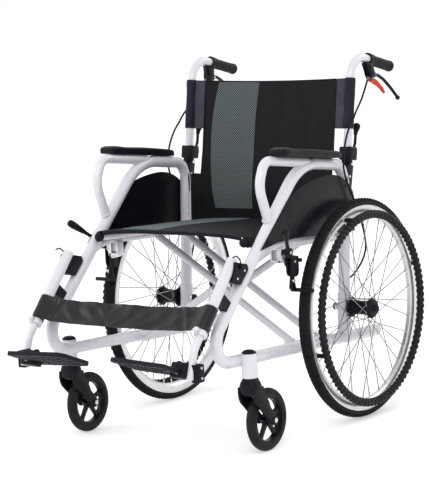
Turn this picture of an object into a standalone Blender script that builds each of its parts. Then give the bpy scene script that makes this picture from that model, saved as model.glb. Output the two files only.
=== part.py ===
"""Folding self-propelled wheelchair with attendant brakes, swing-away leg rests and a folding back.

The user faces -Y, the user's left is +X and the floor is z = 0. Sizes are in metres.
Each side piece is drawn once, on the left, and mirrored for the right.
"""

import math

import bmesh
import bpy
from mathutils import Matrix, Vector

# Overall places
AXLE_Y = 0.2286                      # rear axle, behind the middle of the chair
WHEEL_RADIUS = 0.2794                # 22 inch wheel over its tyre
WHEEL_X = 0.302                      # middle plane of a rear wheel
FRAME_X = 0.250                      # plane of a side frame
CLEAR = 0.0005                       # gap between pieces that touch

# Bent tubes
TUBE_R = 0.015
LOOP_R = 0.012
SEAT_TUBE_R = 0.0105
CANE_R = 0.011
BRACE_R = 0.0095
RAIL_R = 0.0105

# The frame leans back by this slope: lower rail, seat rails and fold axes share it
PITCH = math.radians(3.56)
RAIL_Z = 0.2015                      # lower rail's height at the axle
SEAT_RISE = 0.2734                   # seat rail above the lower rail, square to both
TAIL_Y = 0.150                       # tipping tail behind the axle
DIAGONAL_Y = -0.479                  # a point on the front diagonal
DIAGONAL_Z = 0.3838
DIAGONAL_SLOPE = math.radians(43.0)
UPRIGHT_LEAN = 0.085                 # rearward lean of the rear upright, per metre of rise
ARM_Z = 0.651                        # arch's straight top at ARM_Y
ARM_Y = -0.050
ARM_SLOPE = 0.14                     # fall of the arch's top towards the rear
BEND_FRONT_R = 0.050
BEND_ARCH_R = 0.160
BEND_REAR_R = 0.050
LOOP_KNEE = (-0.354, 0.632)          # corners of the arm loop
LOOP_HEAD = (-0.325, 0.6905)
LOOP_START_Y = -0.318
LOOP_END_Y = -0.140
SEAT_TUBE_START_Y = -0.392
SEAT_TUBE_KNEE = (-0.325, 0.4825)
SEAT_TUBE_END_Z = 0.461
TUBE_STEP = 0.50                     # turn of a bend between two sections

# Fold
FOLD_X = 0.2225                      # lower pivots and seat rails from the middle
BRACE_A_V = (-0.2110, -0.0990)       # places of the front brace pair along the rail
BRACE_STEP = 0.0205                  # second pair behind the first
PIVOT_V = (-0.2250, -0.0650)         # ends of a lower pivot tube along the rail
PIVOT_R = 0.0115
PIN_R = 0.0050

# Casters
CASTER_R = 0.0765                    # 6 inch caster over its tyre
CASTER_TYRE_R = 0.0140
CASTER_X = 0.276
STEM_Y = -0.470
TRAIL = 0.058
HOUSING_R = 0.019
HOUSING_TOP = 0.249
HOUSING_BOTTOM = 0.190
STEM_R = 0.006
FORK_IN = 0.0185                     # inner and outer faces of a fork leg from the wheel's plane
FORK_OUT = 0.0255

# Rear wheels
TYRE_R = 0.0145
RIM_OUTER = WHEEL_RADIUS - 0.0225
RIM_INNER = RIM_OUTER - 0.0215
RIM_HALF = 0.0120
SPOKES = 36
SPOKE_R = 0.0011
HUB_BARREL_R = 0.0190
FLANGE_R = 0.0260
FLANGE_X = 0.0295
FLANGE_HALF = 0.0015
HUB_HALF = 0.0340                    # hub's inner end from the wheel's plane
HUB_OUTER = 0.0390                   # crown of its domed cap
HUB_CAP_R = 0.0230
AXLE_R = 0.0060
HAND_RIM_X = 0.0335                  # hand rim's plane outside the wheel's
HAND_RIM_R = RIM_OUTER - 0.0185
STANDOFF_R = RIM_OUTER - 0.0089
HAND_RIM_TUBE = 0.0110
STANDOFFS = 4
STANDOFF_TURN = math.radians(18.5)
ROUND = 32                           # facets round a rear wheel

# Back
CANE_Y = 0.050                       # a point on the cane
CANE_Z = 0.668
CANE_LEAN = 0.17
GRIP_Y = 0.203                       # a point on the grip's axis
GRIP_Z = 0.8893
GRIP_FALL = 0.25
GRIP_START = 0.183
GRIP_END = 0.278
GRIP_R = 0.0138
BACK_BEND_R = 0.056
HINGE_Y = 0.0456
HINGE_Z = 0.640
BACK_TOP = 0.852
SLEEVE_BOTTOM = 0.729
SLEEVE_R = 0.0130
SLING_FOOT = 0.4720                  # lower edge of the back sling
CANVAS = 0.004

# Arm rests and guards
PAD_FRONT = -0.293
PAD_REAR = -0.024
PAD_X = 0.262
PAD_HALF = 0.025
PAD_T = 0.019
PAD_SLOPE = 0.133
PAD_BOTTOM_Z = 0.6955                # underside at PAD_REF_Y
PAD_REF_Y = -0.270
GUARD_X = FRAME_X + TUBE_R * math.cos(math.pi / 12) + CLEAR
GUARD_T = 0.003
GUARD_FRONT = (-0.3840, 0.4815)      # panel's lower front corner
GUARD_JOIN_Y = -0.262                # where its top leaves the diagonal
GUARD_TOP = (-0.075, 0.626)
GUARD_REAR = (0.045, 0.548)
GUARD_FOOT = ((0.040, 0.4700), (-0.1574, 0.4833), (-0.2057, 0.4895), (-0.3062, 0.4908))

# Leg rests
HANGER_R = 0.0135
HANGER_TOP = (-0.478, 0.474)
HANGER_END = (-0.620, 0.322)
EXTENSION_R = 0.0095
SWIVEL_CLEAR = 0.0006
FOOT_Y = -0.6735
FOOT_Z = 0.2380
FOOT_TILT = math.radians(22.0)       # toes up
FOOT_ROLL = math.radians(2.5)        # inner end up
FOOT_TUBE_END = (-0.6745, 0.2232)
FOOT_BLOCK_H = 0.0445
PLATE_DEPTH = 0.125
PLATE_INNER = 0.070
PLATE_OUTER = 0.236
PLATE_T = 0.012
PLATE_FRONT = 0.0850                 # plate in front of its hinge
FLIP_X = 0.228
STRAP_TOP = 0.3735
STRAP_BOTTOM = 0.3265
STRAP_T = 0.003
STRAP_SEAM = -0.050                  # where the two halves meet

# Wheel locks
LOCK_X = 0.285
LOCK_Y = -0.2928
LOCK_Z = 0.4642
LOCK_GRIP_END = (0.3324, -0.3750, 0.5330)
SHOE_PIVOT_Y = -0.2749
SHOE_PIVOT_Z = 0.4396
HOUSING_X = (0.2705, 0.2905)         # sides of the lock's housing
ARM_X = (0.2768, 0.2852)             # sides of the shoe arm, which swings in it
SHOE_Z = 0.3692
SHOE_OUT = 0.337                     # outer end of the shoe bar
SHOE_R = 0.005
SHOE_GAP = 0.0008

WHITE = (0.86, 0.86, 0.89)
BLACK = (0.018, 0.018, 0.020)
CLOTH = (0.014, 0.014, 0.020)
SILVER = (0.72, 0.72, 0.74)
RED = (0.62, 0.03, 0.02)


def at(x, y, z):
    """A point from its place beside the rear axle's plane."""
    return Vector((x, AXLE_Y + y, z))


def rail_point(x, v, w):
    """A point in the frame's own slope: v runs back along the lower rail, w rises square to it."""
    s, c = math.sin(PITCH), math.cos(PITCH)
    return at(x, v * c + w * s, RAIL_Z - v * s + w * c)


FOLD_AXIS = Vector((0, math.cos(PITCH), -math.sin(PITCH)))
DIAGONAL_DIR = Vector((0, -math.cos(DIAGONAL_SLOPE), -math.sin(DIAGONAL_SLOPE)))
FLIP_DIR = Vector((0, math.cos(FOOT_TILT), -math.sin(FOOT_TILT)))


def clear_scene():
    for obj in list(bpy.data.objects):
        bpy.data.objects.remove(obj, do_unlink=True)


def material(name, colour, roughness, metallic):
    mat = bpy.data.materials.new(name)
    mat.use_nodes = True
    shader = mat.node_tree.nodes["Principled BSDF"]
    shader.inputs["Base Color"].default_value = (*colour, 1.0)
    shader.inputs["Roughness"].default_value = roughness
    shader.inputs["Metallic"].default_value = metallic
    mat.diffuse_color = (*colour, 1.0)
    return mat


def frame_of(direction):
    """Two unit vectors square to a direction, the first as near to X as it can be."""
    d = Vector(direction).normalized()
    side = Vector((1, 0, 0))
    if abs(d.dot(side)) > 0.9:
        side = Vector((0, 1, 0))
    first = (side - d * side.dot(d)).normalized()
    return first, d.cross(first)


def bend(corners, radii, step=0.36):
    """A polyline whose inner corners are rounded to the given radii."""
    points = [Vector(corners[0])]
    for here, radius, before, after in zip(corners[1:-1], radii, corners, corners[2:]):
        here = Vector(here)
        back = (Vector(before) - here).normalized()
        on = (Vector(after) - here).normalized()
        half = back.angle(on) / 2
        reach = radius / math.tan(half)
        centre = here + (back + on).normalized() * (radius / math.sin(half))
        start = here + back * reach - centre
        end = here + on * reach - centre
        turn = start.angle(end)
        steps = max(2, math.ceil(turn / step))
        for i in range(steps + 1):
            t = i / steps
            arm = (start * math.sin((1 - t) * turn) + end * math.sin(t * turn)) / math.sin(turn)
            points.append(centre + arm)
    points.append(Vector(corners[-1]))
    return points


def skin(rings, closed=False):
    """A closed body through rings of equal length."""
    bm = bmesh.new()
    loops = [[bm.verts.new(p) for p in ring] for ring in rings]
    count = len(loops[0])
    pairs = list(zip(loops, loops[1:]))
    if closed:
        pairs.append((loops[-1], loops[0]))
    for a, b in pairs:
        for i in range(count):
            j = (i + 1) % count
            bm.faces.new((a[i], a[j], b[j], b[i]))
    if not closed:
        bm.faces.new(list(reversed(loops[0])))
        bm.faces.new(loops[-1])
    bmesh.ops.recalc_face_normals(bm, faces=bm.faces)
    return bm


def tube(points, radius, sides=12):
    """A round bar along a polyline, mitred at each point. A list of radii tapers it."""
    points = [Vector(p) for p in points]
    radii = radius if isinstance(radius, (list, tuple)) else [radius] * len(points)
    directions = [(b - a).normalized() for a, b in zip(points, points[1:])]
    first, second = frame_of(directions[0])
    rings = []
    for i, (p, r) in enumerate(zip(points, radii)):
        before = directions[max(i - 1, 0)]
        after = directions[min(i, len(directions) - 1)]
        if i:
            turn = directions[max(i - 2, 0)].rotation_difference(before)
            if i > 1:
                first, second = turn @ first, turn @ second
        middle = (before + after).normalized()
        ring = []
        for k in range(sides):
            angle = 2 * math.pi * (k + 0.5) / sides
            arm = first * math.cos(angle) + second * math.sin(angle)
            # the mitre plane cuts the bar square to the middle direction
            arm = arm - before * (arm.dot(middle) / middle.dot(before))
            ring.append(p + arm * r)
        rings.append(ring)
    return skin(rings)


def rod(start, end, radius, sides=12):
    return tube([start, end], radius, sides)


def lathe(profile, centre, axis, sides, closed=True):
    """Turns a profile of (radius, height) round an axis. A closed profile stays off the axis."""
    first, second = frame_of(axis)
    axis = Vector(axis).normalized()
    rings = []
    for k in range(sides):
        angle = 2 * math.pi * k / sides
        arm = first * math.cos(angle) + second * math.sin(angle)
        rings.append([Vector(centre) + arm * r + axis * h for r, h in profile])
    bm = bmesh.new()
    loops = [[bm.verts.new(p) for p in ring] for ring in rings]
    count = len(profile)
    last = count if closed else count - 1
    for a, b in zip(loops, loops[1:] + loops[:1]):
        for i in range(last):
            j = (i + 1) % count
            bm.faces.new((a[i], a[j], b[j], b[i]))
    bmesh.ops.remove_doubles(bm, verts=bm.verts, dist=1e-6)
    bmesh.ops.recalc_face_normals(bm, faces=bm.faces)
    return bm


def circle(radius, count, start=0.0, turn=2 * math.pi):
    return [
        (radius * math.cos(start + turn * i / count), radius * math.sin(start + turn * i / count))
        for i in range(count)
    ]


def ring_profile(mid, radius, count):
    """A round section for a ring whose centre line has radius mid."""
    return [(mid + a, b) for a, b in circle(radius, count, math.pi / count)]


def slab(outline, low, high, axis="X"):
    """An outline of pairs, extruded from low to high along an axis."""
    order = {"X": lambda h, a, b: Vector((h, a, b)), "Y": lambda h, a, b: Vector((a, h, b)),
             "Z": lambda h, a, b: Vector((a, b, h))}[axis]
    return skin([[order(h, a, b) for a, b in outline] for h in (low, high)])


def block(size, centre, axes=None):
    """A box. axes are three square unit vectors, by default the world's."""
    axes = axes or (Vector((1, 0, 0)), Vector((0, 1, 0)), Vector((0, 0, 1)))
    half = [Vector(a) * (s / 2) for a, s in zip(axes, size)]
    corners = ((-1, -1), (1, -1), (1, 1), (-1, 1))
    return skin([
        [Vector(centre) + half[0] * a + half[1] * b + half[2] * h for a, b in corners]
        for h in (-1, 1)
    ])


def rounded(bm, width, segments=2, angle=0.6):
    """Rounds the sharp edges of a body."""
    edges = [e for e in bm.edges if e.is_manifold and e.calc_face_angle(0) > angle]
    bmesh.ops.bevel(bm, geom=edges, offset=width, segments=segments, profile=0.5,
                    affect="EDGES", clamp_overlap=True)
    bmesh.ops.remove_doubles(bm, verts=bm.verts, dist=1e-6)
    return bm


def moved(bm, matrix):
    bmesh.ops.transform(bm, matrix=matrix, verts=bm.verts)
    return bm


def together(*parts):
    """Separate bodies in one mesh, for one cutter."""
    mesh = bpy.data.meshes.new("together")
    whole = bmesh.new()
    for part in parts:
        part.to_mesh(mesh)
        whole.from_mesh(mesh)
        part.free()
    bpy.data.meshes.remove(mesh)
    return whole


def combine(base, steps):
    """Applies booleans to a body: steps are (operation, body) pairs."""
    target = bpy.data.objects.new("target", bpy.data.meshes.new("target"))
    bpy.context.scene.collection.objects.link(target)
    base.to_mesh(target.data)
    base.free()
    for operation, body in steps:
        tool = bpy.data.objects.new("tool", bpy.data.meshes.new("tool"))
        bpy.context.scene.collection.objects.link(tool)
        body.to_mesh(tool.data)
        body.free()
        step = target.modifiers.new(operation.lower(), "BOOLEAN")
        step.operation = operation
        step.solver = "EXACT"
        step.object = tool
        bpy.context.view_layer.update()
        graph = bpy.context.evaluated_depsgraph_get()
        result = bpy.data.meshes.new_from_object(target.evaluated_get(graph))
        target.modifiers.clear()
        old = target.data
        target.data = result
        bpy.data.meshes.remove(old)
        spare = tool.data
        bpy.data.objects.remove(tool, do_unlink=True)
        bpy.data.meshes.remove(spare)
    made = bmesh.new()
    made.from_mesh(target.data)
    spare = target.data
    bpy.data.objects.remove(target, do_unlink=True)
    bpy.data.meshes.remove(spare)
    bmesh.ops.remove_doubles(made, verts=made.verts, dist=2e-6)
    bmesh.ops.dissolve_degenerate(made, dist=1e-6, edges=made.edges)
    return made


def union(base, *bodies):
    return combine(base, [("UNION", body) for body in bodies])


def cut(base, *bodies):
    return combine(base, [("DIFFERENCE", body) for body in bodies])


def mirrored(bm):
    made = bm.copy()
    bmesh.ops.transform(made, matrix=Matrix.Scale(-1, 4, Vector((1, 0, 0))), verts=made.verts)
    bmesh.ops.reverse_faces(made, faces=made.faces)
    return made


def piece(name, bm, mat, pivot=(0, 0, 0), sharp=35):
    """One named object with its origin on its pivot."""
    pivot = Vector(pivot)
    moved(bm, Matrix.Translation(-pivot))
    mesh = bpy.data.meshes.new(name)
    bm.to_mesh(mesh)
    bm.free()
    mesh.materials.append(mat)
    mesh.shade_smooth()
    mesh.set_sharp_from_angle(angle=math.radians(sharp))
    obj = bpy.data.objects.new(name, mesh)
    obj.location = pivot
    bpy.context.scene.collection.objects.link(obj)
    return obj


def both_sides(name, bm, look, pivot=(0, 0, 0)):
    """The left piece and its mirror image, each with its own material."""
    colour, roughness, metallic = look
    pivot = Vector(pivot)
    right = mirrored(bm)
    piece(name + "_left", bm, material(name + "_left", colour, roughness, metallic), pivot)
    piece(name + "_right", right, material(name + "_right", colour, roughness, metallic),
          (-pivot.x, pivot.y, pivot.z))


PAINT = (WHITE, 0.25, 0.0)
PLASTIC = (BLACK, 0.42, 0.0)
RUBBER = ((0.022, 0.022, 0.023), 0.75, 0.0)
FABRIC = (CLOTH, 0.85, 0.0)
METAL = (SILVER, 0.30, 1.0)
SIGNAL = (RED, 0.35, 0.0)


def diagonal_z(y):
    return DIAGONAL_Z + math.tan(DIAGONAL_SLOPE) * (y - DIAGONAL_Y)


def arch_z(y):
    return ARM_Z - ARM_SLOPE * (y - ARM_Y)


def upright_y(z):
    return UPRIGHT_LEAN * (z - WHEEL_RADIUS)


def crossing(line_a, line_b):
    """Where two (y, z) lines meet, each given as (slope, height at y = 0)."""
    y = (line_b[1] - line_a[1]) / (line_a[0] - line_b[0])
    return y, line_a[0] * y + line_a[1]


def frame_corners():
    """Corners of the bent side tube: tail, front, arch front, arch rear, axle."""
    diagonal = (math.tan(DIAGONAL_SLOPE), diagonal_z(0))
    top = (-ARM_SLOPE, arch_z(0))
    lower = (-math.tan(PITCH), RAIL_Z)
    upright = (1 / UPRIGHT_LEAN, WHEEL_RADIUS)
    front = crossing(diagonal, lower)
    arch = crossing(diagonal, top)
    rear = crossing(upright, top)
    tail = (TAIL_Y, lower[0] * TAIL_Y + lower[1])
    foot_z = RAIL_Z + 0.065
    return tail, front, arch, rear, (upright_y(foot_z), foot_z)


def side_frame():
    plane = [at(FRAME_X, y, z) for y, z in frame_corners()]
    main = tube(bend(plane, (BEND_FRONT_R, BEND_ARCH_R, BEND_REAR_R), TUBE_STEP), TUBE_R, 12)
    sleeve_low, sleeve_high = RAIL_Z - 0.012, WHEEL_RADIUS + 0.035
    sleeve = rod(at(FRAME_X, upright_y(sleeve_low), sleeve_low),
                 at(FRAME_X, upright_y(sleeve_high), sleeve_high), TUBE_R + 0.0022, 12)
    loop = tube(bend([at(FRAME_X, LOOP_START_Y, diagonal_z(LOOP_START_Y)), at(FRAME_X, *LOOP_KNEE),
                      at(FRAME_X, *LOOP_HEAD),
                      at(FRAME_X, LOOP_END_Y, arch_z(LOOP_END_Y) + 0.002)], (0.064, 0.034), TUBE_STEP),
                LOOP_R, 8)
    seat = tube(bend([at(FRAME_X, SEAT_TUBE_START_Y, diagonal_z(SEAT_TUBE_START_Y)),
                      at(FRAME_X, *SEAT_TUBE_KNEE),
                      at(FRAME_X, upright_y(SEAT_TUBE_END_Z), SEAT_TUBE_END_Z)], (0.120,), TUBE_STEP / 2),
                SEAT_TUBE_R, 8)
    housing = rod(at(CASTER_X, STEM_Y, HOUSING_BOTTOM), at(CASTER_X, STEM_Y, HOUSING_TOP),
                  HOUSING_R, 12)
    parts = [sleeve, loop, seat, housing]
    lug_t = 0.005
    for end, way in ((PIVOT_V[0], -1), (PIVOT_V[1], 1)):
        lug_v = end + way * (CLEAR + lug_t / 2)
        lug = block((0.036, lug_t, 0.026), rail_point(FOLD_X + 0.009, lug_v, 0),
                    (Vector((1, 0, 0)), FOLD_AXIS, FOLD_AXIS.cross(Vector((-1, 0, 0)))))
        parts.append(lug)
        parts.append(rod(rail_point(FOLD_X, end - way * 0.012, 0),
                         rail_point(FOLD_X, end + way * (lug_t + 0.004), 0), PIN_R, 8))
    cheek_out = 0.0148
    for x in (FRAME_X - cheek_out, FRAME_X + cheek_out - 0.004):
        outline = [(AXLE_Y + a, b) for a, b in (
            (0.0200, HINGE_Z - 0.078), (0.0340, HINGE_Z - 0.082), (HINGE_Y + 0.008, HINGE_Z - 0.006),
            (HINGE_Y + 0.0060, HINGE_Z + 0.0060), (HINGE_Y - 0.0040, HINGE_Z + 0.0075),
            (0.020, HINGE_Z - 0.006))]
        parts.append(slab(outline, x, x + 0.004))
    parts.append(rod(at(FRAME_X - cheek_out - 0.0015, HINGE_Y, HINGE_Z),
                     at(FRAME_X + cheek_out + 0.0015, HINGE_Y, HINGE_Z), 0.004, 8))
    frame = union(main, *parts)
    bore = rod(at(CASTER_X, STEM_Y, HOUSING_BOTTOM - 0.01), at(CASTER_X, STEM_Y, HOUSING_TOP + 0.01),
               STEM_R + 0.0008, 10)
    axle = rod(at(FRAME_X - 0.03, 0, WHEEL_RADIUS), at(FRAME_X + 0.03, 0, WHEEL_RADIUS),
               AXLE_R + 0.0005, 10)
    return cut(frame, bore, axle)


def side_guard():
    """A flat panel whose front follows the diagonal and whose top is an arch."""
    back, down = math.sin(DIAGONAL_SLOPE) * 0.003, math.cos(DIAGONAL_SLOPE) * 0.003
    join = GUARD_JOIN_Y + back, diagonal_z(GUARD_JOIN_Y) - down
    outline = [GUARD_FRONT, join]
    first = math.radians(34)
    steps = 6
    span, rise = GUARD_TOP[0] - join[0], GUARD_TOP[1] - join[1]
    for i in range(1, steps + 1):
        a = first + (math.pi / 2 - first) * i / steps
        lift = (math.sin(a) - math.sin(first)) / (1 - math.sin(first))
        run = 1 - math.cos(a) / math.cos(first)
        outline.append((join[0] + span * run, join[1] + rise * lift))
    for i in range(1, steps + 1):
        a = math.pi / 2 * i / steps
        outline.append((GUARD_TOP[0] + (GUARD_REAR[0] - GUARD_TOP[0]) * math.sin(a),
                        GUARD_REAR[1] + (GUARD_TOP[1] - GUARD_REAR[1]) * math.cos(a)))
    outline += GUARD_FOOT
    return slab([(AXLE_Y + a, b) for a, b in outline], GUARD_X, GUARD_X + GUARD_T)


def arm_pad():
    """A moulded pad: full at the front, a little hollow behind it and arched on top."""
    rings = []
    stations = ((0.0, 0.60, 0.55), (0.02, 0.86, 0.86), (0.10, 1.0, 1.16),
                (0.26, 0.90, 1.02), (0.50, 0.96, 1.10), (0.93, 0.92, 0.98),
                (0.985, 0.86, 0.86), (1.0, 0.66, 0.60))
    for t, wide, tall in stations:
        y = PAD_FRONT + (PAD_REAR - PAD_FRONT) * t
        low = PAD_BOTTOM_Z - PAD_SLOPE * (y - PAD_REF_Y)
        half, high = PAD_HALF * wide, PAD_T * tall
        base = low + 0.5 * PAD_T * (1 - min(tall, 1)) * 0.6
        section = ((-0.90, 0.0), (0.90, 0.0), (1.0, 0.22), (0.98, 0.62), (0.72, 0.93), (0.30, 1.0),
                   (-0.30, 1.0), (-0.72, 0.93), (-0.98, 0.62), (-1.0, 0.22))
        rings.append([at(PAD_X + half * a, y, base + high * b) for a, b in section])
    return skin(rings)


def rear_tyre():
    half = TYRE_R
    mid = WHEEL_RADIUS - half
    bead = RIM_HALF - 0.0015
    wall = [(RIM_OUTER + CLEAR, bead), (mid + half * 0.12, half), (WHEEL_RADIUS, half * 0.36)]
    profile = [(r, -x) for r, x in wall] + list(reversed(wall))
    return lathe(profile, at(WHEEL_X, 0, WHEEL_RADIUS), (1, 0, 0), ROUND)


def rear_rim():
    """Double-wall rim."""
    profile = [(RIM_OUTER, -RIM_HALF), (RIM_OUTER, RIM_HALF), (RIM_OUTER - 0.013, RIM_HALF),
               (RIM_INNER, RIM_HALF * 0.45), (RIM_INNER, -RIM_HALF * 0.45),
               (RIM_OUTER - 0.013, -RIM_HALF)]
    return lathe(profile, at(WHEEL_X, 0, WHEEL_RADIUS), (1, 0, 0), ROUND)


def spokes():
    """Crossed spokes, half of them from each flange, that reach in turn to either side."""
    centre = at(WHEEL_X, 0, WHEEL_RADIUS)
    hole_r = FLANGE_R - 0.003
    reach = RIM_INNER * math.cos(math.pi / ROUND) - 0.0006
    each = SPOKES // 2
    bars = []
    for side in (1, -1):
        for i in range(each):
            lead = 1 if i % 2 else -1
            rim_angle = 2 * math.pi * (i + (0.25 if side > 0 else 0.75)) / each
            hub_angle = rim_angle + lead * math.radians(68)
            hub_x = side * FLANGE_X + lead * FLANGE_HALF * 0.7
            start = Vector((hub_x, hole_r * math.cos(hub_angle), hole_r * math.sin(hub_angle)))
            end = Vector((side * 0.002, reach * math.cos(rim_angle), reach * math.sin(rim_angle)))
            bars.append(rod(centre + start, centre + end, SPOKE_R, 3))
    return bars


def rear_hub():
    """Hub with its two spoke flanges, its domed outer cap and the crossed spokes."""
    b = HUB_BARREL_R
    f = FLANGE_X
    t = FLANGE_HALF
    bore = AXLE_R + 0.0006
    profile = [(bore, -HUB_HALF), (b - 0.005, -HUB_HALF), (b - 0.005, -f - t), (FLANGE_R, -f - t),
               (FLANGE_R, -f + t), (b, -f + t + 0.003), (b, f - t - 0.003),
               (FLANGE_R, f - t), (FLANGE_R, f + t), (HUB_CAP_R, HUB_OUTER - 0.0045),
               (HUB_CAP_R * 0.74, HUB_OUTER), (bore, HUB_OUTER)]
    return union(lathe(profile, at(WHEEL_X, 0, WHEEL_RADIUS), (1, 0, 0), 12), together(*spokes()))


def rear_axle():
    """Axle bolt through the upright, with its nut and end cap."""
    inner = FRAME_X - TUBE_R - 0.0022
    outer = WHEEL_X + HUB_OUTER
    profile = [(0, inner - 0.010), (0.0055, inner - 0.0095), (0.0095, inner - 0.0080),
               (0.0095, inner - CLEAR), (AXLE_R, inner - CLEAR), (AXLE_R, outer + CLEAR),
               (0.0100, outer + CLEAR), (0.0100, outer + 0.006), (0.0065, outer + 0.009),
               (0, outer + 0.010)]
    return lathe(profile, at(0, 0, WHEEL_RADIUS), (1, 0, 0), 8, closed=False)


def hand_rim():
    """Hand rim with its standoffs to the wheel rim."""
    centre = at(WHEEL_X + HAND_RIM_X, 0, WHEEL_RADIUS)
    ring = lathe(ring_profile(HAND_RIM_R, HAND_RIM_TUBE, 7), centre, (1, 0, 0), ROUND)
    stand = []
    for i in range(STANDOFFS):
        a = 2 * math.pi * i / STANDOFFS + STANDOFF_TURN
        way = Vector((0, math.cos(a), math.sin(a)))
        high = centre + way * STANDOFF_R
        low = high - Vector((HAND_RIM_X - RIM_HALF - CLEAR, 0, 0))
        stand.append(rod(low, high, 0.0058, 6))
    return union(ring, together(*stand))


def caster_fork():
    """Moulded fork with its stem, end cap and axle bolt."""
    x, y = CASTER_X, STEM_Y
    axle_y, axle_z = STEM_Y + TRAIL, CASTER_R
    stem = lathe([(0, HOUSING_BOTTOM - 0.010), (STEM_R, HOUSING_BOTTOM - 0.010),
                  (STEM_R, HOUSING_TOP + CLEAR), (HOUSING_R - 0.0005, HOUSING_TOP + CLEAR),
                  (HOUSING_R - 0.0015, HOUSING_TOP + 0.003), (0.012, HOUSING_TOP + 0.0075),
                  (0, HOUSING_TOP + 0.0090)], at(x, y, 0), (0, 0, 1), 8, closed=False)
    rings = []
    for z, wide, front, rear in ((0.1480, FORK_OUT - 0.006, -0.0150, 0.0190),
                                 (0.1580, FORK_OUT, -0.0215, 0.0225),
                                 (0.1700, FORK_OUT, -0.0215, 0.0205),
                                 (0.1820, FORK_OUT - 0.005, -0.0195, 0.0185),
                                 (HOUSING_BOTTOM - CLEAR, 0.0165, -0.0160, 0.0160)):
        ring = []
        for k in range(8):
            a = 2 * math.pi * (k + 0.5) / 8
            c, s = math.cos(a), math.sin(a)
            square = (abs(c) ** 3 + abs(s) ** 3) ** (-1 / 3)
            depth = rear if s > 0 else -front
            ring.append(at(x + wide * c * square, y + depth * s * square, z))
        rings.append(ring)
    crown = skin(rings)
    parts = [stem]
    boss = [(axle_y + 0.0125 * math.cos(a), axle_z + 0.0125 * math.sin(a))
            for a in [math.radians(d) for d in (215, 258, 301, 344, 27)]]
    outline = [(y - 0.0195, 0.168), (y - 0.0205, 0.152), (y - 0.0130, 0.129)] + boss
    outline += [(y + 0.0400, 0.1240), (y + 0.0225, 0.152), (y + 0.0190, 0.168)]
    outline = [(AXLE_Y + a, b) for a, b in outline]
    for side in (1, -1):
        low, high = sorted((x + side * FORK_IN, x + side * (FORK_OUT - 0.0005)))
        parts.append(slab(outline, low, high))
    bolt = FORK_OUT + 0.0045
    parts.append(rod(at(x - bolt, axle_y, axle_z), at(x + bolt, axle_y, axle_z), 0.004, 8))
    return union(crown, *parts)


def caster_wheel():
    """Spoked caster wheel."""
    centre = at(CASTER_X, STEM_Y + TRAIL, CASTER_R)
    half = 0.0095
    outer = CASTER_R - 2 * CASTER_TYRE_R + 0.0100
    rim = lathe([(outer - 0.0075, -half * 0.7), (outer - 0.0075, half * 0.7), (outer, half),
                 (outer, -half)], centre, (1, 0, 0), 20)
    hub = lathe([(0.0048, -0.0180), (0.0085, -0.0180), (0.0135, -half), (0.0135, half),
                 (0.0085, 0.0180), (0.0048, 0.0180)], centre, (1, 0, 0), 8)
    arms = []
    for i in range(5):
        a = 2 * math.pi * (i + 0.25) / 5
        way = Vector((0, math.cos(a), math.sin(a)))
        across = Vector((0, -math.sin(a), math.cos(a)))
        rings = []
        for r, wide, deep in ((0.0105, 0.0072, 0.0080), (outer - 0.004, 0.0062, 0.0060)):
            rings.append([centre + way * r + across * wide * p + Vector((deep * q, 0, 0))
                          for p, q in ((-1, -0.7), (1, -0.7), (1, 0.7), (-1, 0.7))])
        arms.append(skin(rings))
    return union(rim, hub, *arms)


def caster_tyre():
    inner = CASTER_R - 2 * CASTER_TYRE_R + 0.0100 + CLEAR
    mid = CASTER_R - CASTER_TYRE_R
    half = CASTER_TYRE_R * 0.92
    wall = [(inner, half * 0.80), (mid + CASTER_TYRE_R * 0.30, half), (CASTER_R, half * 0.40)]
    profile = [(r, -x) for r, x in wall] + list(reversed(wall))
    return lathe(profile, at(CASTER_X, STEM_Y + TRAIL, CASTER_R), (1, 0, 0), 20)


def hanger_axes():
    top = at(FRAME_X, *HANGER_TOP)
    end = at(FRAME_X, *HANGER_END)
    along = (end - top).normalized()
    return top, end, along


def legrest_hanger():
    """Hanger tube with its lower clamp ring and lower saddle."""
    top, end, along = hanger_axes()
    across = Vector((1, 0, 0))
    normal = across.cross(along)
    bar = tube([top, top + along * 0.002, end], [HANGER_R - 0.0015, HANGER_R, HANGER_R], 12)
    ring = rod(end - along * 0.003, end + along * 0.008, HANGER_R + 0.0026, 12)
    lug = block((0.010, 0.012, 0.016), end + along * 0.0025 - normal * (HANGER_R + 0.007),
                (across, along, normal))
    tube_point = at(FRAME_X, -0.507, diagonal_z(-0.507))
    reach = (tube_point - top).dot(along)
    foot = top + along * reach
    gap = (tube_point - foot).length
    way = (tube_point - foot).normalized()
    saddle = rounded(block((0.018, 0.028, gap), foot + way * gap / 2, (across, along, way)), 0.002, 1)
    saddle = cut(saddle, rod(tube_point - DIAGONAL_DIR * 0.1, tube_point + DIAGONAL_DIR * 0.1,
                             TUBE_R + SWIVEL_CLEAR, 20))
    bore = rod(end - along * 0.105, end + along * 0.02, EXTENSION_R + 0.0006, 12)
    return cut(union(bar, ring, lug, saddle), bore)


LATCH = ((-0.4914, 0.4707), (-0.4410, 0.4581), (-0.4360, 0.4440), (-0.4708, 0.4115),
         (-0.5082, 0.4246))


def legrest_latch():
    """Latch housing between the hanger and the frame's front tube."""
    top, end, along = hanger_axes()
    mid = at(FRAME_X, -0.440, diagonal_z(-0.440))
    body = rounded(slab([(AXLE_Y + a, b) for a, b in LATCH], FRAME_X - 0.0120, FRAME_X + 0.0175),
                   0.0035, 1)
    hanger = rod(top - along * 0.1, end, HANGER_R + CLEAR, 16)
    main = rod(mid - DIAGONAL_DIR * 0.15, mid + DIAGONAL_DIR * 0.15, TUBE_R + SWIVEL_CLEAR, 16)
    return cut(body, hanger, main)


LEVER_PIVOT = (0.2700, -0.4710, 0.4568)
LEVER_WIRE = ((-0.4710, 0.4568), (-0.4770, 0.4760), (-0.4900, 0.4850), (-0.5045, 0.4830))


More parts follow.
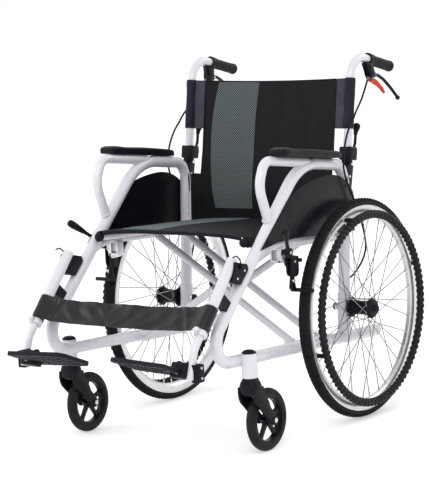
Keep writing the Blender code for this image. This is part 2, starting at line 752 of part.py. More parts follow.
def legrest_lever():
    """Wire release lever on the outer side of the latch, bent over the hanger's end."""
    x, y, z = LEVER_PIVOT
    side = Vector((1, 0, 0))
    wire = tube(bend([at(x, *p) for p in LEVER_WIRE], (0.008, 0.008), 0.8), 0.0018, 5)
    hub = rod(at(x, y, z) - side * 0.0018, at(x, y, z) + side * 0.0030, 0.0058, 8)
    return union(hub, wire)


def footrest_extension():
    """Extension tube with its foot block and hinge pin."""
    top, end, along = hanger_axes()
    knee = at(FRAME_X, -0.650, 0.290)
    bar = tube(bend([end - along * 0.090, knee, at(FRAME_X, *FOOT_TUBE_END)], (0.045,), 0.2),
               EXTENSION_R, 10)
    up = FLIP_DIR.cross(Vector((-1, 0, 0)))
    across = Vector((1, 0, 0))
    hinge = at(FLIP_X, FOOT_Y, FOOT_Z)
    axes = (across, FLIP_DIR, up)
    body = rounded(block((0.042, 0.036, FOOT_BLOCK_H), hinge - across * 0.0015 + up * 0.001, axes), 0.004, 1)
    parts = [body]
    for shift in (-0.0125, 0.0145):
        low = hinge + across * shift + up * (FOOT_BLOCK_H / 2 - 0.002)
        parts.append(lathe([(0, 0), (0.0075, 0), (0.0062, 0.0058), (0, 0.0080)], low, up, 8, False))
    parts.append(block((0.022, 0.024, 0.042), at(FRAME_X + 0.013, FOOT_Y + 0.0145, FOOT_Z - 0.001)))
    parts.append(rod(hinge - FLIP_DIR * 0.032, hinge + FLIP_DIR * 0.032, 0.0035, 8))
    return union(bar, *parts)


def footplate():
    """Ribbed footplate, notched round its hinge block."""
    level = FLIP_DIR.cross(Vector((-1, 0, 0)))
    across = Vector((1, 0, 0)) * math.cos(FOOT_ROLL) - level * math.sin(FOOT_ROLL)
    up = FLIP_DIR.cross(-across)
    hinge = at(FLIP_X, FOOT_Y, FOOT_Z)
    inner = PLATE_INNER - FLIP_X
    outer = PLATE_OUTER - FLIP_X
    front, rear = -PLATE_FRONT, PLATE_DEPTH - PLATE_FRONT
    r = 0.022
    outline = []
    for cx, cy, start in ((inner + r, front + r, 180), (outer - 0.006, front + 0.006, 270),
                          (outer - 0.006, rear - 0.006, 0), (inner + r, rear - r, 90)):
        size = r if cx < 0 else 0.006
        for k in range(4):
            a = math.radians(start + 30 * k)
            outline.append((cx + size * math.cos(a), cy + size * math.sin(a)))
    place = Matrix((across, FLIP_DIR, up)).transposed().to_4x4()
    place.translation = hinge
    plate = slab(outline, -PLATE_T / 2, PLATE_T / 2, "Z")
    notch = block((0.074, 0.040, 0.05), (0.0005, 0, 0))
    pin = rod((0, -0.034, 0), (0, 0.034, 0), 0.0041, 8)
    under = block((outer - inner - 0.060, PLATE_DEPTH - 0.016, 0.010),
                  ((inner + outer) / 2 - 0.022, (front + rear) / 2, -PLATE_T / 2 + 0.000))
    ribs = []
    for k in range(3):
        ribs.append(block((outer - inner - 0.050, 0.0025, PLATE_T * 0.8),
                          ((inner + outer) / 2 - 0.022, front + PLATE_DEPTH * (k + 1) / 4, -0.0008)))
    shell = cut(plate, under, notch, pin)
    return moved(union(shell, *ribs), place)


def strap_frame():
    top, end, along = hanger_axes()
    slope = along
    high = top + along * ((STRAP_TOP - top.z) / along.z)
    low = top + along * ((STRAP_BOTTOM - top.z) / along.z)
    return high, low, slope


def calf_strap(inner_x):
    """Half of the calf band: a sleeve round its hanger and a band with a light hang."""
    high, low, slope = strap_frame()
    across = Vector((1, 0, 0))
    normal = across.cross(slope)
    if normal.y > 0:
        normal = -normal
    sleeve = rod(high, low, HANGER_R + CLEAR + STRAP_T, 12)
    rings = []
    start, stations = FRAME_X - 0.004, 9
    for i in range(stations):
        t = i / (stations - 1)
        x = start + (inner_x - start) * t
        reach = (x + FRAME_X) / (2 * FRAME_X)
        hang = 0.006 * math.sin(math.pi * min(max(reach, 0), 1))
        wave = 0.0016 * math.sin(3 * math.pi * t)
        pinch = 0.0015 * math.sin(math.pi * t)
        top = Vector((x, high.y, high.z)) + slope * (hang * 0.5 + pinch) - normal * (wave + hang)
        low_edge = Vector((x, low.y, low.z)) + slope * (hang * 0.5 - pinch) - normal * (hang - wave)
        mid = (top + low_edge) / 2 + normal * wave
        half = normal * (STRAP_T / 2)
        rings.append([top - half, mid - half, low_edge - half, low_edge + half, mid + half, top + half])
    band = skin(rings)
    bore = rod(high - slope * 0.02, low + slope * 0.02, HANGER_R + CLEAR, 12)
    return cut(union(sleeve, band), bore)


def lock_bracket():
    """Clamp on the seat tube, with the plate and open housing that carry lever and shoe arm."""
    inner, outer = HOUSING_X
    plate = slab([(AXLE_Y + a, b) for a, b in (
        (LOCK_Y - 0.0115, LOCK_Z - 0.009), (LOCK_Y - 0.0080, LOCK_Z + 0.010), (LOCK_Y + 0.0080, LOCK_Z + 0.010),
        (SHOE_PIVOT_Y + 0.017, SHOE_PIVOT_Z + 0.0125), (SHOE_PIVOT_Y + 0.035, SHOE_PIVOT_Z + 0.0095),
        (SHOE_PIVOT_Y + 0.035, SHOE_PIVOT_Z - 0.0090), (SHOE_PIVOT_Y + 0.017, SHOE_PIVOT_Z - 0.012),
        (SHOE_PIVOT_Y - 0.011, SHOE_PIVOT_Z - 0.012))], inner - 0.0045, inner + 0.0005)
    half = (SHOE_PIVOT_Y - 0.0121, SHOE_PIVOT_Y + 0.0169)
    top, low = SHOE_PIVOT_Z + 0.0119, SHOE_PIVOT_Z - 0.0376
    housing = slab([(AXLE_Y + a, b) for a, b in (
        (half[0], top), (half[1], top), (half[1], low + 0.012), (half[1] - 0.004, low + 0.003),
        (half[1] - 0.012, low), (half[0] + 0.012, low), (half[0] + 0.004, low + 0.003),
        (half[0], low + 0.012))], inner, outer)
    room = block((ARM_X[1] - ARM_X[0] + 0.0016, 0.040, 0.060),
                 at((ARM_X[0] + ARM_X[1]) / 2, half[1] - 0.0235, top - 0.0052 - 0.030))
    jaw = block((0.0285, 0.026, 0.036), at(inner - 0.0175, LOCK_Y + 0.0042, LOCK_Z - 0.0080))
    stop = SHOE_PIVOT_Y + 0.0250
    arm = rod(at(inner, stop, SHOE_PIVOT_Z), at(outer + 0.002, stop, SHOE_PIVOT_Z), 0.0048, 8)
    boss = rod(at(inner - 0.004, LOCK_Y, LOCK_Z), at(LOCK_X - 0.0080 - CLEAR, LOCK_Y, LOCK_Z), 0.0070, 10)
    pin = rod(at(inner, SHOE_PIVOT_Y, SHOE_PIVOT_Z), at(outer + 0.002, SHOE_PIVOT_Y, SHOE_PIVOT_Z), 0.0030, 8)
    knee = at(FRAME_X, *SEAT_TUBE_KNEE)
    end = at(FRAME_X, upright_y(SEAT_TUBE_END_Z), SEAT_TUBE_END_Z)
    shell = cut(union(plate, housing, jaw), room,
                rod(knee - (end - knee) * 0.1, end, SEAT_TUBE_R + CLEAR, 16))
    return union(shell, arm, boss, pin)


def lock_lever():
    """Lever with a tapered hand grip."""
    pivot = at(LOCK_X, LOCK_Y, LOCK_Z)
    way = at(*LOCK_GRIP_END) - pivot
    hub = rod(pivot - Vector((0.0080, 0, 0)), pivot + Vector((0.0065, 0, 0)), 0.0110, 12)
    marks = (0.0, 0.30, 0.54, 0.60, 0.72, 0.86, 0.96, 1.0)
    radii = (0.0050, 0.0048, 0.0050, 0.0062, 0.0080, 0.0098, 0.0086, 0.0050)
    return union(hub, tube([pivot + way * t for t in marks], list(radii), 8))


def lock_shoe():
    """Shoe arm and the bar that presses on the tyre."""
    reach = WHEEL_RADIUS + SHOE_R + SHOE_GAP
    shoe_y = -math.sqrt(reach ** 2 - (SHOE_Z - WHEEL_RADIUS) ** 2)
    y, z = SHOE_PIVOT_Y, SHOE_PIVOT_Z
    arm = slab([(AXLE_Y + a, b) for a, b in (
        (y - 0.0060, z + 0.0020), (y, z + 0.0060), (y + 0.0060, z + 0.0020), (y + 0.0058, z - 0.0200),
        (y + 0.0030, z - 0.0470), (shoe_y + 0.0045, SHOE_Z + 0.0040), (shoe_y + 0.0020, SHOE_Z - 0.0045),
        (shoe_y - 0.0085, SHOE_Z - 0.0030), (y - 0.0125, z - 0.0640), (y - 0.0075, z - 0.0420))],
        ARM_X[0], ARM_X[1])
    bore = rod(at(ARM_X[0] - 0.01, y, z), at(ARM_X[1] + 0.01, y, z), 0.0034, 8)
    bar = rod(at(ARM_X[0] + 0.001, shoe_y, SHOE_Z), at(SHOE_OUT, shoe_y, SHOE_Z), SHOE_R, 10)
    bolt_y, bolt_z = y - 0.0045, z - 0.0472
    bolt = rod(at(ARM_X[1] - 0.001, bolt_y, bolt_z), at(ARM_X[1] + 0.0048, bolt_y, bolt_z), 0.0042, 8)
    return union(cut(arm, bore), bar, bolt)


def cane_y(z):
    return CANE_Y + CANE_LEAN * (z - CANE_Z)


def grip_z(y):
    return GRIP_Z - GRIP_FALL * (y - GRIP_Y)


def cane_points(low_z, end_y):
    """The cane's centre line from a height to a place along the grip."""
    top_z = (GRIP_Z - GRIP_FALL * (CANE_Y - CANE_LEAN * CANE_Z - GRIP_Y)) / (1 + GRIP_FALL * CANE_LEAN)
    return bend([at(FRAME_X, cane_y(low_z), low_z), at(FRAME_X, cane_y(top_z), top_z),
                 at(FRAME_X, end_y, grip_z(end_y))], (BACK_BEND_R,), 0.24)


COLLAR_LOW = 0.6490
COLLAR_HIGH = 0.6830
RELEASE_PIVOT = (0.250, 0.0775, 0.6650)
RELEASE_HALF = 0.0065
RELEASE_HUB_R = 0.0048
KNOB = (0.101, 0.7293)               # middle of the release's knob


def back_cane():
    """Back cane, bent over into the push handle."""
    return tube(cane_points(COLLAR_LOW + 0.006, GRIP_END - 0.012), CANE_R, 10)


def hand_grip():
    """Ribbed grip, closed at its end."""
    way = Vector((0, 1, -GRIP_FALL)).normalized()
    start = at(FRAME_X, GRIP_START, grip_z(GRIP_START))
    end = at(FRAME_X, GRIP_END, grip_z(GRIP_END))
    length = (end - start).length
    bore = (CANE_R + CLEAR) / math.cos(math.pi / 10)
    profile = [(bore, 0.0), (GRIP_R + 0.002, 0.0), (GRIP_R + 0.002, 0.006)]
    ribs = 4
    for i in range(ribs):
        low = 0.010 + (length - 0.022) * i / ribs
        high = 0.010 + (length - 0.022) * (i + 0.55) / ribs
        profile += [(GRIP_R - 0.0010, low), (GRIP_R, high)]
    profile += [(GRIP_R - 0.0010, length - 0.011), (GRIP_R + 0.0010, length - 0.009),
                (GRIP_R + 0.0010, length - 0.003), (GRIP_R - 0.0025, length), (0, length)]
    inside = length - 0.012 * math.sqrt(1 + GRIP_FALL ** 2) + CLEAR
    profile += [(0, inside), (bore, inside)]
    return lathe(profile, start, way, 10)


def back_collar():
    """Collar on the cane's foot, with the tongue that turns in the frame's hinge."""
    lean = Vector((0, CANE_LEAN, 1)).normalized()
    across = Vector((1, 0, 0))
    mid_z = (COLLAR_LOW + COLLAR_HIGH) / 2
    body = rounded(block((0.036, 0.034, COLLAR_HIGH - COLLAR_LOW), at(FRAME_X, cane_y(mid_z) + 0.0045, mid_z),
                         (across, lean.cross(across), lean)), 0.0035, 1)
    tongue = slab([(AXLE_Y + a, b) for a, b in (
        (HINGE_Y - 0.0095, HINGE_Z + 0.020), (HINGE_Y - 0.0095, HINGE_Z - 0.003),
        (HINGE_Y - 0.005, HINGE_Z - 0.0095), (HINGE_Y + 0.005, HINGE_Z - 0.0095),
        (HINGE_Y + 0.0105, HINGE_Z - 0.003), (HINGE_Y + 0.0125, HINGE_Z + 0.020))],
        FRAME_X - 0.0100, FRAME_X + 0.0100)
    x, y, z = RELEASE_PIVOT
    ears = []
    for side in (1, -1):
        low, high = sorted((side * (RELEASE_HALF + CLEAR), side * (RELEASE_HALF + CLEAR + 0.0030)))
        outline = [(AXLE_Y + a, b) for a, b in (
            (y - 0.016, z - 0.0075), (y + 0.002, z - 0.0052), (y + 0.0052, z), (y + 0.002, z + 0.0052),
            (y - 0.016, z + 0.0075))]
        ears.append(slab(outline, x + low, x + high))
    shell = union(body, tongue, *ears)
    foot_z = COLLAR_LOW + 0.005
    seat = rod(at(FRAME_X, cane_y(foot_z), foot_z),
               at(FRAME_X, cane_y(COLLAR_HIGH + 0.03), COLLAR_HIGH + 0.03), CANE_R + CLEAR, 16)
    pin = rod(at(FRAME_X - 0.03, HINGE_Y, HINGE_Z), at(FRAME_X + 0.03, HINGE_Y, HINGE_Z), 0.0045, 12)
    return cut(shell, seat, pin)




def back_release():
    """Release lever behind the collar, with a ball knob."""
    x, y, z = RELEASE_PIVOT
    knob_y, knob_z = KNOB
    path = bend([at(x, y, z - 0.003), at(x, y + 0.002, z + 0.006), at(x, y + 0.0120, z + 0.024),
                 at(x, knob_y - 0.0065, knob_z - 0.0165)], (0.010, 0.014), 1.0)
    stem = tube(path, 0.0038, 5)
    hub = rod(at(x - RELEASE_HALF, y, z), at(x + RELEASE_HALF, y, z), RELEASE_HUB_R, 8)
    knob = lathe([(0, -0.0205), (0.0050, -0.0205), (0.0056, -0.0120), (0.0086, -0.0050), (0.0094, 0.0015),
                  (0.0070, 0.0080), (0, 0.0105)], at(x, knob_y, knob_z), (0, 0.4, 1), 8, False)
    return union(stem, hub, knob)


BRAKE_Y = 0.1740
BRAKE_CLAMP_R = CANE_R + 0.0055
BRAKE_AXIS_Z = GRIP_Z - GRIP_FALL * (BRAKE_Y - GRIP_Y)
BRAKE_TILT = math.radians(9.0)         # the housings hang slightly outwards
LEVER_Y = BRAKE_Y + 0.0076
LEVER_Z = BRAKE_AXIS_Z - 0.0385
LEVER_R = 0.0045
PARK_Y = BRAKE_Y - 0.0124
PARK_Z = BRAKE_AXIS_Z - 0.0522


def tilted(point):
    """A point of the upright brake turned outwards about the grip's axis."""
    way = Vector((0, 1, -GRIP_FALL)).normalized()
    centre = at(FRAME_X, BRAKE_Y, BRAKE_AXIS_Z)
    return centre + Matrix.Rotation(-BRAKE_TILT, 3, way) @ (Vector(point) - centre)


def brake_body():
    """Brake lever housing, clamped round the handle bend."""
    way = Vector((0, 1, -GRIP_FALL)).normalized()
    centre = at(FRAME_X, BRAKE_Y, BRAKE_AXIS_Z)
    clamp = rod(centre - way * 0.0075, centre + way * 0.0075, BRAKE_CLAMP_R, 12)
    rings = []
    for drop, front, back, half in ((0.0070, -0.0305, 0.0015, 0.0090), (0.0160, -0.0235, 0.0055, 0.0105),
                                    (0.0320, -0.0200, 0.0080, 0.0105), (0.0430, -0.0184, 0.0141, 0.0100),
                                    (0.0490, -0.0157, 0.0093, 0.0082)):
        rings.append([tilted(at(FRAME_X + half * a, BRAKE_Y + front + (back - front) * b, BRAKE_AXIS_Z - drop))
                      for a, b in ((-1, 0.14), (-0.7, 0), (0.7, 0), (1, 0.14),
                                   (1, 0.86), (0.7, 1), (-0.7, 1), (-1, 0.86))])
    body = union(clamp, skin(rings))
    bore = rod(centre - way * 0.04, centre + way * 0.04, CANE_R + CLEAR, 12)
    grip = at(FRAME_X, GRIP_START - CLEAR, grip_z(GRIP_START - CLEAR))
    room = rod(grip, grip + way * 0.05, GRIP_R + 0.002 + CLEAR, 12)
    slot = skin([[tilted(at(FRAME_X + (LEVER_R + 0.0002) * a, LEVER_Y + 0.0135 + 0.020 * b, LEVER_Z + up))
                  for a, b in ((-1, -1), (1, -1), (1, 1), (-1, 1))] for up in (0.012, -0.008)])
    return cut(body, bore, room, slot)


def brake_lever():
    """Curved brake lever with a ball end."""
    x = FRAME_X
    y, z = LEVER_Y, LEVER_Z
    points = bend([at(x, y, z), at(x, y + 0.0190, z - 0.0025), at(x, y + 0.0510, z - 0.0180),
                   at(x, y + 0.0805, z - 0.0425), at(x, y + 0.1091, z - 0.0714)], (0.05, 0.08, 0.3), 0.4)
    points = [tilted(p) for p in points]
    radii = [LEVER_R - 0.0006 * i / (len(points) - 1) for i in range(len(points))]
    arm = tube(points, radii, 6)
    ball = lathe([(0, -0.0063), (0.0046, -0.0046), (0.0063, 0), (0.0046, 0.0046), (0, 0.0063)],
                 points[-1], (0, 0.7, -0.7), 8, False)
    return union(arm, ball)


def park_lock():
    """Red parking catch under the brake lever."""
    x = FRAME_X
    rings = []
    for run, drop, wide, deep in ((0.0005, 0.0005, 0.0060, 0.0038), (0.0115, 0.0022, 0.0086, 0.0060),
                                  (0.0252, 0.0085, 0.0088, 0.0064), (0.0385, 0.0160, 0.0064, 0.0052),
                                  (0.0521, 0.0270, 0.0055, 0.0042), (0.0620, 0.0390, 0.0040, 0.0032)):
        y, z = PARK_Y + run, PARK_Z - drop
        rings.append([tilted(at(x + wide * a, y + deep * b * 0.55, z + deep * b * 0.85))
                      for a, b in ((-1, -0.5), (-0.6, -1), (0.6, -1), (1, -0.5),
                                   (1, 0.5), (0.6, 1), (-0.6, 1), (-1, 0.5))])
    return skin(rings)


CABLE_R = 0.0025
CABLE_KNOTS = (
    (0.2577, 0.1560, 0.8507), (0.2600, 0.1350, 0.8260), (0.2640, 0.1080, 0.7990),
    (0.2710, 0.0650, 0.7690), (0.2730, 0.0450, 0.7480), (0.2735, 0.0230, 0.7290),
    (0.2755, 0.0010, 0.6950), (0.2765, -0.0125, 0.6540), (0.2765, -0.0090, 0.6230),
    (0.2765, 0.0040, 0.5930), (0.2765, 0.0300, 0.5500), (0.2755, 0.0560, 0.5020),
    (0.2750, 0.0701, 0.4675), (0.2745, 0.0783, 0.4404), (0.2735, 0.0775, 0.4145),
    (0.2700, 0.0620, 0.3858), (0.2620, 0.0350, 0.3590), (0.2560, 0.0235, 0.3510))


def smooth_curve(knots, step):
    """Points about a step apart along a smooth curve through the knots."""
    knots = [Vector(k) for k in knots]
    ends = [knots[0] * 2 - knots[1]] + knots + [knots[-1] * 2 - knots[-2]]
    points = []
    for a, b, c, d in zip(ends, ends[1:], ends[2:], ends[3:]):
        count = max(2, round((c - b).length / step))
        for i in range(count):
            t = i / count
            points.append(0.5 * ((2 * b) + (c - a) * t + (2 * a - 5 * b + 4 * c - d) * t ** 2
                                 + (3 * b - a - 3 * c + d) * t ** 3))
    points.append(knots[-1])
    return points


def brake_cable(name, side):
    """Brake cable from the lever housing to the frame beside the hub, as a bevelled curve."""
    knots = [at(x, y, z) for x, y, z in CABLE_KNOTS]
    points = smooth_curve(knots, 3 * 2 * CABLE_R)
    data = bpy.data.curves.new(name, "CURVE")
    data.dimensions = "3D"
    data.bevel_depth = CABLE_R
    data.bevel_resolution = 2
    data.use_fill_caps = True
    line = data.splines.new("POLY")
    line.points.add(len(points) - 1)
    for slot, p in zip(line.points, points):
        slot.co = (side * p.x, p.y, p.z, 1)
    data.materials.append(material(name, BLACK, 0.5, 0.0))
    obj = bpy.data.objects.new(name, data)
    bpy.context.scene.collection.objects.link(obj)
    return sum((b - a).length for a, b in zip(points, points[1:]))


RAIL_FRONT_V = -0.4060
RAIL_REAR_V = -0.0100


def end_cap(side):
    """The round cap on a seat rail's front end."""
    centre = rail_point(side * FOLD_X, RAIL_FRONT_V, SEAT_RISE)
    profile = [(0, 0.004), (RAIL_R - 0.0002, 0.004), (RAIL_R - 0.0002, -0.005), (0, -0.0110)]
    return lathe(profile, centre, FOLD_AXIS, 10, False)


def brace(side, front_v):
    """One leg of the folding cross: two tubes, its seat rail, its lower pivot tube.

    side is +1 for the leg whose seat rail is on the left and whose lower pivot is on the right.
    """
    rail = rod(rail_point(side * FOLD_X, RAIL_FRONT_V, SEAT_RISE),
               rail_point(side * FOLD_X, RAIL_REAR_V, SEAT_RISE), RAIL_R, 12)
    pivot = rod(rail_point(-side * FOLD_X, PIVOT_V[0], 0), rail_point(-side * FOLD_X, PIVOT_V[1], 0),
                PIVOT_R, 12)
    parts = [pivot]
    for v in front_v:
        parts.append(rod(rail_point(-side * FOLD_X, v, 0), rail_point(side * FOLD_X, v, SEAT_RISE),
                         BRACE_R, 8))
    bores = [rod(rail_point(-side * FOLD_X, PIVOT_V[0] - 0.02, 0),
                 rail_point(-side * FOLD_X, PIVOT_V[1] + 0.02, 0), PIN_R + 0.0007, 8)]
    mid = SEAT_RISE / 2
    if side < 0:
        for v in front_v:
            bores.append(rod(rail_point(0, v - 0.02, mid), rail_point(0, v + 0.02, mid), 0.0046, 8))
    body = cut(union(rail, end_cap(side), *parts), *bores)
    bolts = []
    if side > 0:
        for v in front_v:
            far = v + BRACE_STEP + BRACE_R
            bolts.append(rod(rail_point(0, v - BRACE_R - 0.004, mid), rail_point(0, v, mid), 0.0075, 8))
            bolts.append(rod(rail_point(0, v, mid), rail_point(0, far + 0.006, mid), 0.0040, 8))
            bolts.append(rod(rail_point(0, far + 0.0012, mid), rail_point(0, far + 0.0065, mid),
                             0.0070, 6))
        body = union(body, *bolts)
    return body


def seat_sling():
    """Seat canvas on its two rails, a little crowned, with a padded front edge."""
    front, rear = RAIL_FRONT_V - 0.004, RAIL_REAR_V - 0.004
    half = FOLD_X + 0.0095
    rings = []
    lengthwise, across = 9, 12
    for i in range(lengthwise):
        t = i / (lengthwise - 1)
        v = front + (rear - front) * t
        top, low = [], []
        for k in range(across + 1):
            u = -1 + 2 * k / across
            x = half * u
            crown = 0.0075 * (1 - u ** 2) * (0.55 + 0.45 * math.sin(math.pi * min(t + 0.12, 1)))
            base = RAIL_R + CLEAR - (0.0030 * (1 - abs(u)) if abs(x) < FOLD_X - RAIL_R else 0)
            edge = 0.0062 if 0 < i < lengthwise - 1 else 0.0045
            top.append(rail_point(x, v, SEAT_RISE + RAIL_R + CLEAR + edge + crown))
            low.append(rail_point(x, v, SEAT_RISE + base))
        rings.append(top + list(reversed(low)))
    return skin(rings)


SLING_INSET = 0.038                    # the panel below the sleeves stands in from the canes


def back_sling():
    """Back canvas: sleeves on the canes and one hanging panel down to the seat."""
    lean = Vector((0, CANE_LEAN, 1)).normalized()
    bend_z = COLLAR_HIGH - 0.012
    leave_z = bend_z - 0.110

    def point(u, z, depth):
        """u runs from the right cane to the left one. depth is ahead of the cane's axis."""
        inset = 0.0 if z > SLEEVE_BOTTOM else SLING_INSET
        x = u * (FRAME_X - inset - 0.006)
        if z > bend_z:
            base = cane_y(z)
        else:
            share = max(0, (z - leave_z) / (bend_z - leave_z))
            base = upright_y(z) + (cane_y(bend_z) - upright_y(bend_z)) * share
        sag = 0.016 * (1 - u * u)
        return at(x, base + sag - depth, z)

    low_steps, high_steps = 4, 2
    heights = [SLING_FOOT + (SLEEVE_BOTTOM - 0.002 - SLING_FOOT) * i / low_steps for i in range(low_steps + 1)]
    heights += [SLEEVE_BOTTOM + 0.002 + (BACK_TOP - SLEEVE_BOTTOM - 0.002) * i / high_steps
                for i in range(high_steps + 1)]
    across = 8
    rings = []
    for z in heights:
        ahead, behind = [], []
        for k in range(across + 1):
            u = -1 + 2 * k / across
            dip = 0.008 * (1 - u * u) if z == BACK_TOP else 0
            for line, depth in ((ahead, CANVAS), (behind, 0.0)):
                line.append(point(u, z - dip, depth))
        rings.append(ahead + list(reversed(behind)))
    panel = skin(rings)
    sleeves, bores = [], []
    for side in (1, -1):
        low = at(side * FRAME_X, cane_y(SLEEVE_BOTTOM), SLEEVE_BOTTOM)
        high = at(side * FRAME_X, cane_y(BACK_TOP), BACK_TOP)
        sleeves.append(rod(low, high, SLEEVE_R, 12))
        bores.append(rod(low - lean * 0.05, high + lean * 0.05, CANE_R + CLEAR, 12))
    return cut(union(panel, *sleeves), *bores)


def build():
    clear_scene()
    hub = at(WHEEL_X, 0, WHEEL_RADIUS)
    stem = at(CASTER_X, STEM_Y, HOUSING_BOTTOM)
    caster_hub = at(CASTER_X, STEM_Y + TRAIL, CASTER_R)
    swing = at(FRAME_X, -0.440, diagonal_z(-0.440))
    flip = at(FLIP_X, FOOT_Y, FOOT_Z)
    back = at(FRAME_X, HINGE_Y, HINGE_Z)
    lower = rail_point(FOLD_X, PIVOT_V[0], 0)

    both_sides("side_frame", side_frame(), PAINT)
    both_sides("side_guard", side_guard(), PLASTIC)
    both_sides("arm_pad", arm_pad(), PLASTIC)
    both_sides("rear_tyre", rear_tyre(), RUBBER, hub)
    both_sides("rear_rim", rear_rim(), METAL, hub)
    both_sides("rear_hub", rear_hub(), PLASTIC, hub)
    both_sides("rear_axle", rear_axle(), METAL, hub)
    both_sides("hand_rim", hand_rim(), RUBBER, hub)
    both_sides("caster_fork", caster_fork(), PLASTIC, stem)
    both_sides("caster_wheel", caster_wheel(), PLASTIC, caster_hub)
    both_sides("caster_tyre", caster_tyre(), RUBBER, caster_hub)
    both_sides("legrest_hanger", legrest_hanger(), PAINT, swing)
    both_sides("legrest_latch", legrest_latch(), PLASTIC, swing)
    both_sides("legrest_lever", legrest_lever(), PLASTIC, at(*LEVER_PIVOT))
    both_sides("footrest_extension", footrest_extension(), PAINT, at(FRAME_X, *HANGER_END))
    both_sides("footplate", footplate(), PLASTIC, flip)
    both_sides("lock_bracket", lock_bracket(), METAL)
    both_sides("lock_lever", lock_lever(), PLASTIC, at(LOCK_X, LOCK_Y, LOCK_Z))
    both_sides("lock_shoe", lock_shoe(), PLASTIC, at(LOCK_X, SHOE_PIVOT_Y, SHOE_PIVOT_Z))
    both_sides("back_cane", back_cane(), PAINT, back)
    both_sides("hand_grip", hand_grip(), RUBBER, back)
    both_sides("back_collar", back_collar(), PLASTIC, back)
    both_sides("back_release", back_release(), PLASTIC, at(*RELEASE_PIVOT))
    both_sides("brake_body", brake_body(), PLASTIC, back)
    both_sides("brake_lever", brake_lever(), PLASTIC, tilted(at(FRAME_X, LEVER_Y, LEVER_Z)))
    both_sides("park_lock", park_lock(), SIGNAL, tilted(at(FRAME_X, PARK_Y, PARK_Z)))
    length = 0
    for name, side in (("brake_cable_left", 1), ("brake_cable_right", -1)):
        length = brake_cable(name, side)
    print(f"each brake cable is {length * 1000:.0f} mm long")

    piece("calf_strap_left", calf_strap(STRAP_SEAM + 0.0005), material("calf_strap_left", *FABRIC), swing)
    right = mirrored(calf_strap(-STRAP_SEAM + 0.0005))
    piece("calf_strap_right", right, material("calf_strap_right", *FABRIC),
          (-swing.x, swing.y, swing.z))
    piece("brace_front", brace(1, BRACE_A_V), material("brace_front", *PAINT),
          (-lower.x, lower.y, lower.z))
    second = tuple(v + BRACE_STEP for v in BRACE_A_V)
    piece("brace_rear", brace(-1, second), material("brace_rear", *PAINT),
          rail_point(0, BRACE_A_V[0], SEAT_RISE / 2))
    piece("seat_sling", seat_sling(), material("seat_sling", *FABRIC))
    piece("back_sling", back_sling(), material("back_sling", *FABRIC), (-back.x, back.y, back.z))


build()
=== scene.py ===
"""Folding wheelchair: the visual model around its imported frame.

The user faces -Y, the user's left is +X and the floor is z = 0. Sizes are in metres.
Each operator makes one piece or one group of like pieces, and the last one makes the stage.
Side pieces are shaped once, on the left, and mirrored for the right.
"""

import math

import bmesh
import bpy
from mathutils import Matrix, Vector, noise


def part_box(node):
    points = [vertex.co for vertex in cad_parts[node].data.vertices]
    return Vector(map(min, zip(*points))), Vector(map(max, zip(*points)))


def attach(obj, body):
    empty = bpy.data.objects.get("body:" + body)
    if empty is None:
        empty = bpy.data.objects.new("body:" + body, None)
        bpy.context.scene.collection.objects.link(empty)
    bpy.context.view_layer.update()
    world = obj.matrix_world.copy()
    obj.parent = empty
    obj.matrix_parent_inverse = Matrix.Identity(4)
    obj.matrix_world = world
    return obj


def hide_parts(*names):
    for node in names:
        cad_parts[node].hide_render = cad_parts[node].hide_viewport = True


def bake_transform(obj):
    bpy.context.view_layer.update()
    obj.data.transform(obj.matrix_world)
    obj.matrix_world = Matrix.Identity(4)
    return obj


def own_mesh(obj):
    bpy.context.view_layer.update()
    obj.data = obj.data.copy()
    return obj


bl_info = {
    "name": "Folding wheelchair",
    "version": (1, 0, 0),
    "blender": (4, 5, 0),
    "location": "3D View > Sidebar > Wheelchair",
    "description": "Builds the visual model of a folding wheelchair round its packed frame",
    "category": "Object",
}

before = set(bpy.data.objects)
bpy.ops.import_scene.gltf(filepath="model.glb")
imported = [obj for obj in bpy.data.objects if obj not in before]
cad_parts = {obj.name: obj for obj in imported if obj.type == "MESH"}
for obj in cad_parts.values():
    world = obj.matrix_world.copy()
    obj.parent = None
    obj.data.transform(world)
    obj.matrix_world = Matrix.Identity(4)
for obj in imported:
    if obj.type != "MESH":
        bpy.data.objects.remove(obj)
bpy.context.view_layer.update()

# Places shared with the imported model
AXLE_Y = sum(corner[1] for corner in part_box("rear_tyre_left")) / 2
WHEEL_RADIUS = 0.2794
WHEEL_X = 0.302
FRAME_X = 0.250
TUBE_R = 0.015
LOOP_R = 0.012
SEAT_TUBE_R = 0.0105
CANE_R = 0.011
BRACE_R = 0.0095
RAIL_R = 0.0105
PITCH = math.radians(3.56)
RAIL_Z = 0.2015
SEAT_RISE = 0.2734
DIAGONAL_SLOPE = math.radians(43.0)
UPRIGHT_LEAN = 0.085
ARCH_FALL = 0.14                     # fall of the arch over one metre back
ARCH_Z = 0.651                       # arch at ARCH_Y
ARCH_Y = -0.050
FOLD_X = 0.2225
BRACE_A_V = (-0.2110, -0.0990)
BRACE_STEP = 0.0205
PIVOT_V = (-0.2250, -0.0650)
RAIL_FRONT_V = -0.4060
RAIL_REAR_V = -0.0100
CASTER_R = 0.0765
CASTER_TYRE_R = 0.0140
CASTER_X = 0.276
STEM_Y = -0.470
TRAIL = 0.058
HOUSING_R = 0.019
HOUSING_TOP = 0.249
HOUSING_BOTTOM = 0.190
FORK_OUT = 0.0255
TYRE_R = 0.0145
RIM_OUTER = WHEEL_RADIUS - 0.0225
RIM_LIP = 0.2618
RIM_INNER = RIM_OUTER - 0.0215
RIM_HALF = 0.0120
SPOKES = 36
SPOKE_R = 0.0011
SPOKE_CROSS = math.radians(68)       # turn of a spoke between rim and hub
FLANGE_R = 0.0260
FLANGE_X = 0.0295
HUB_HALF = 0.0340
HUB_OUTER = 0.0390
HAND_RIM_X = 0.0335
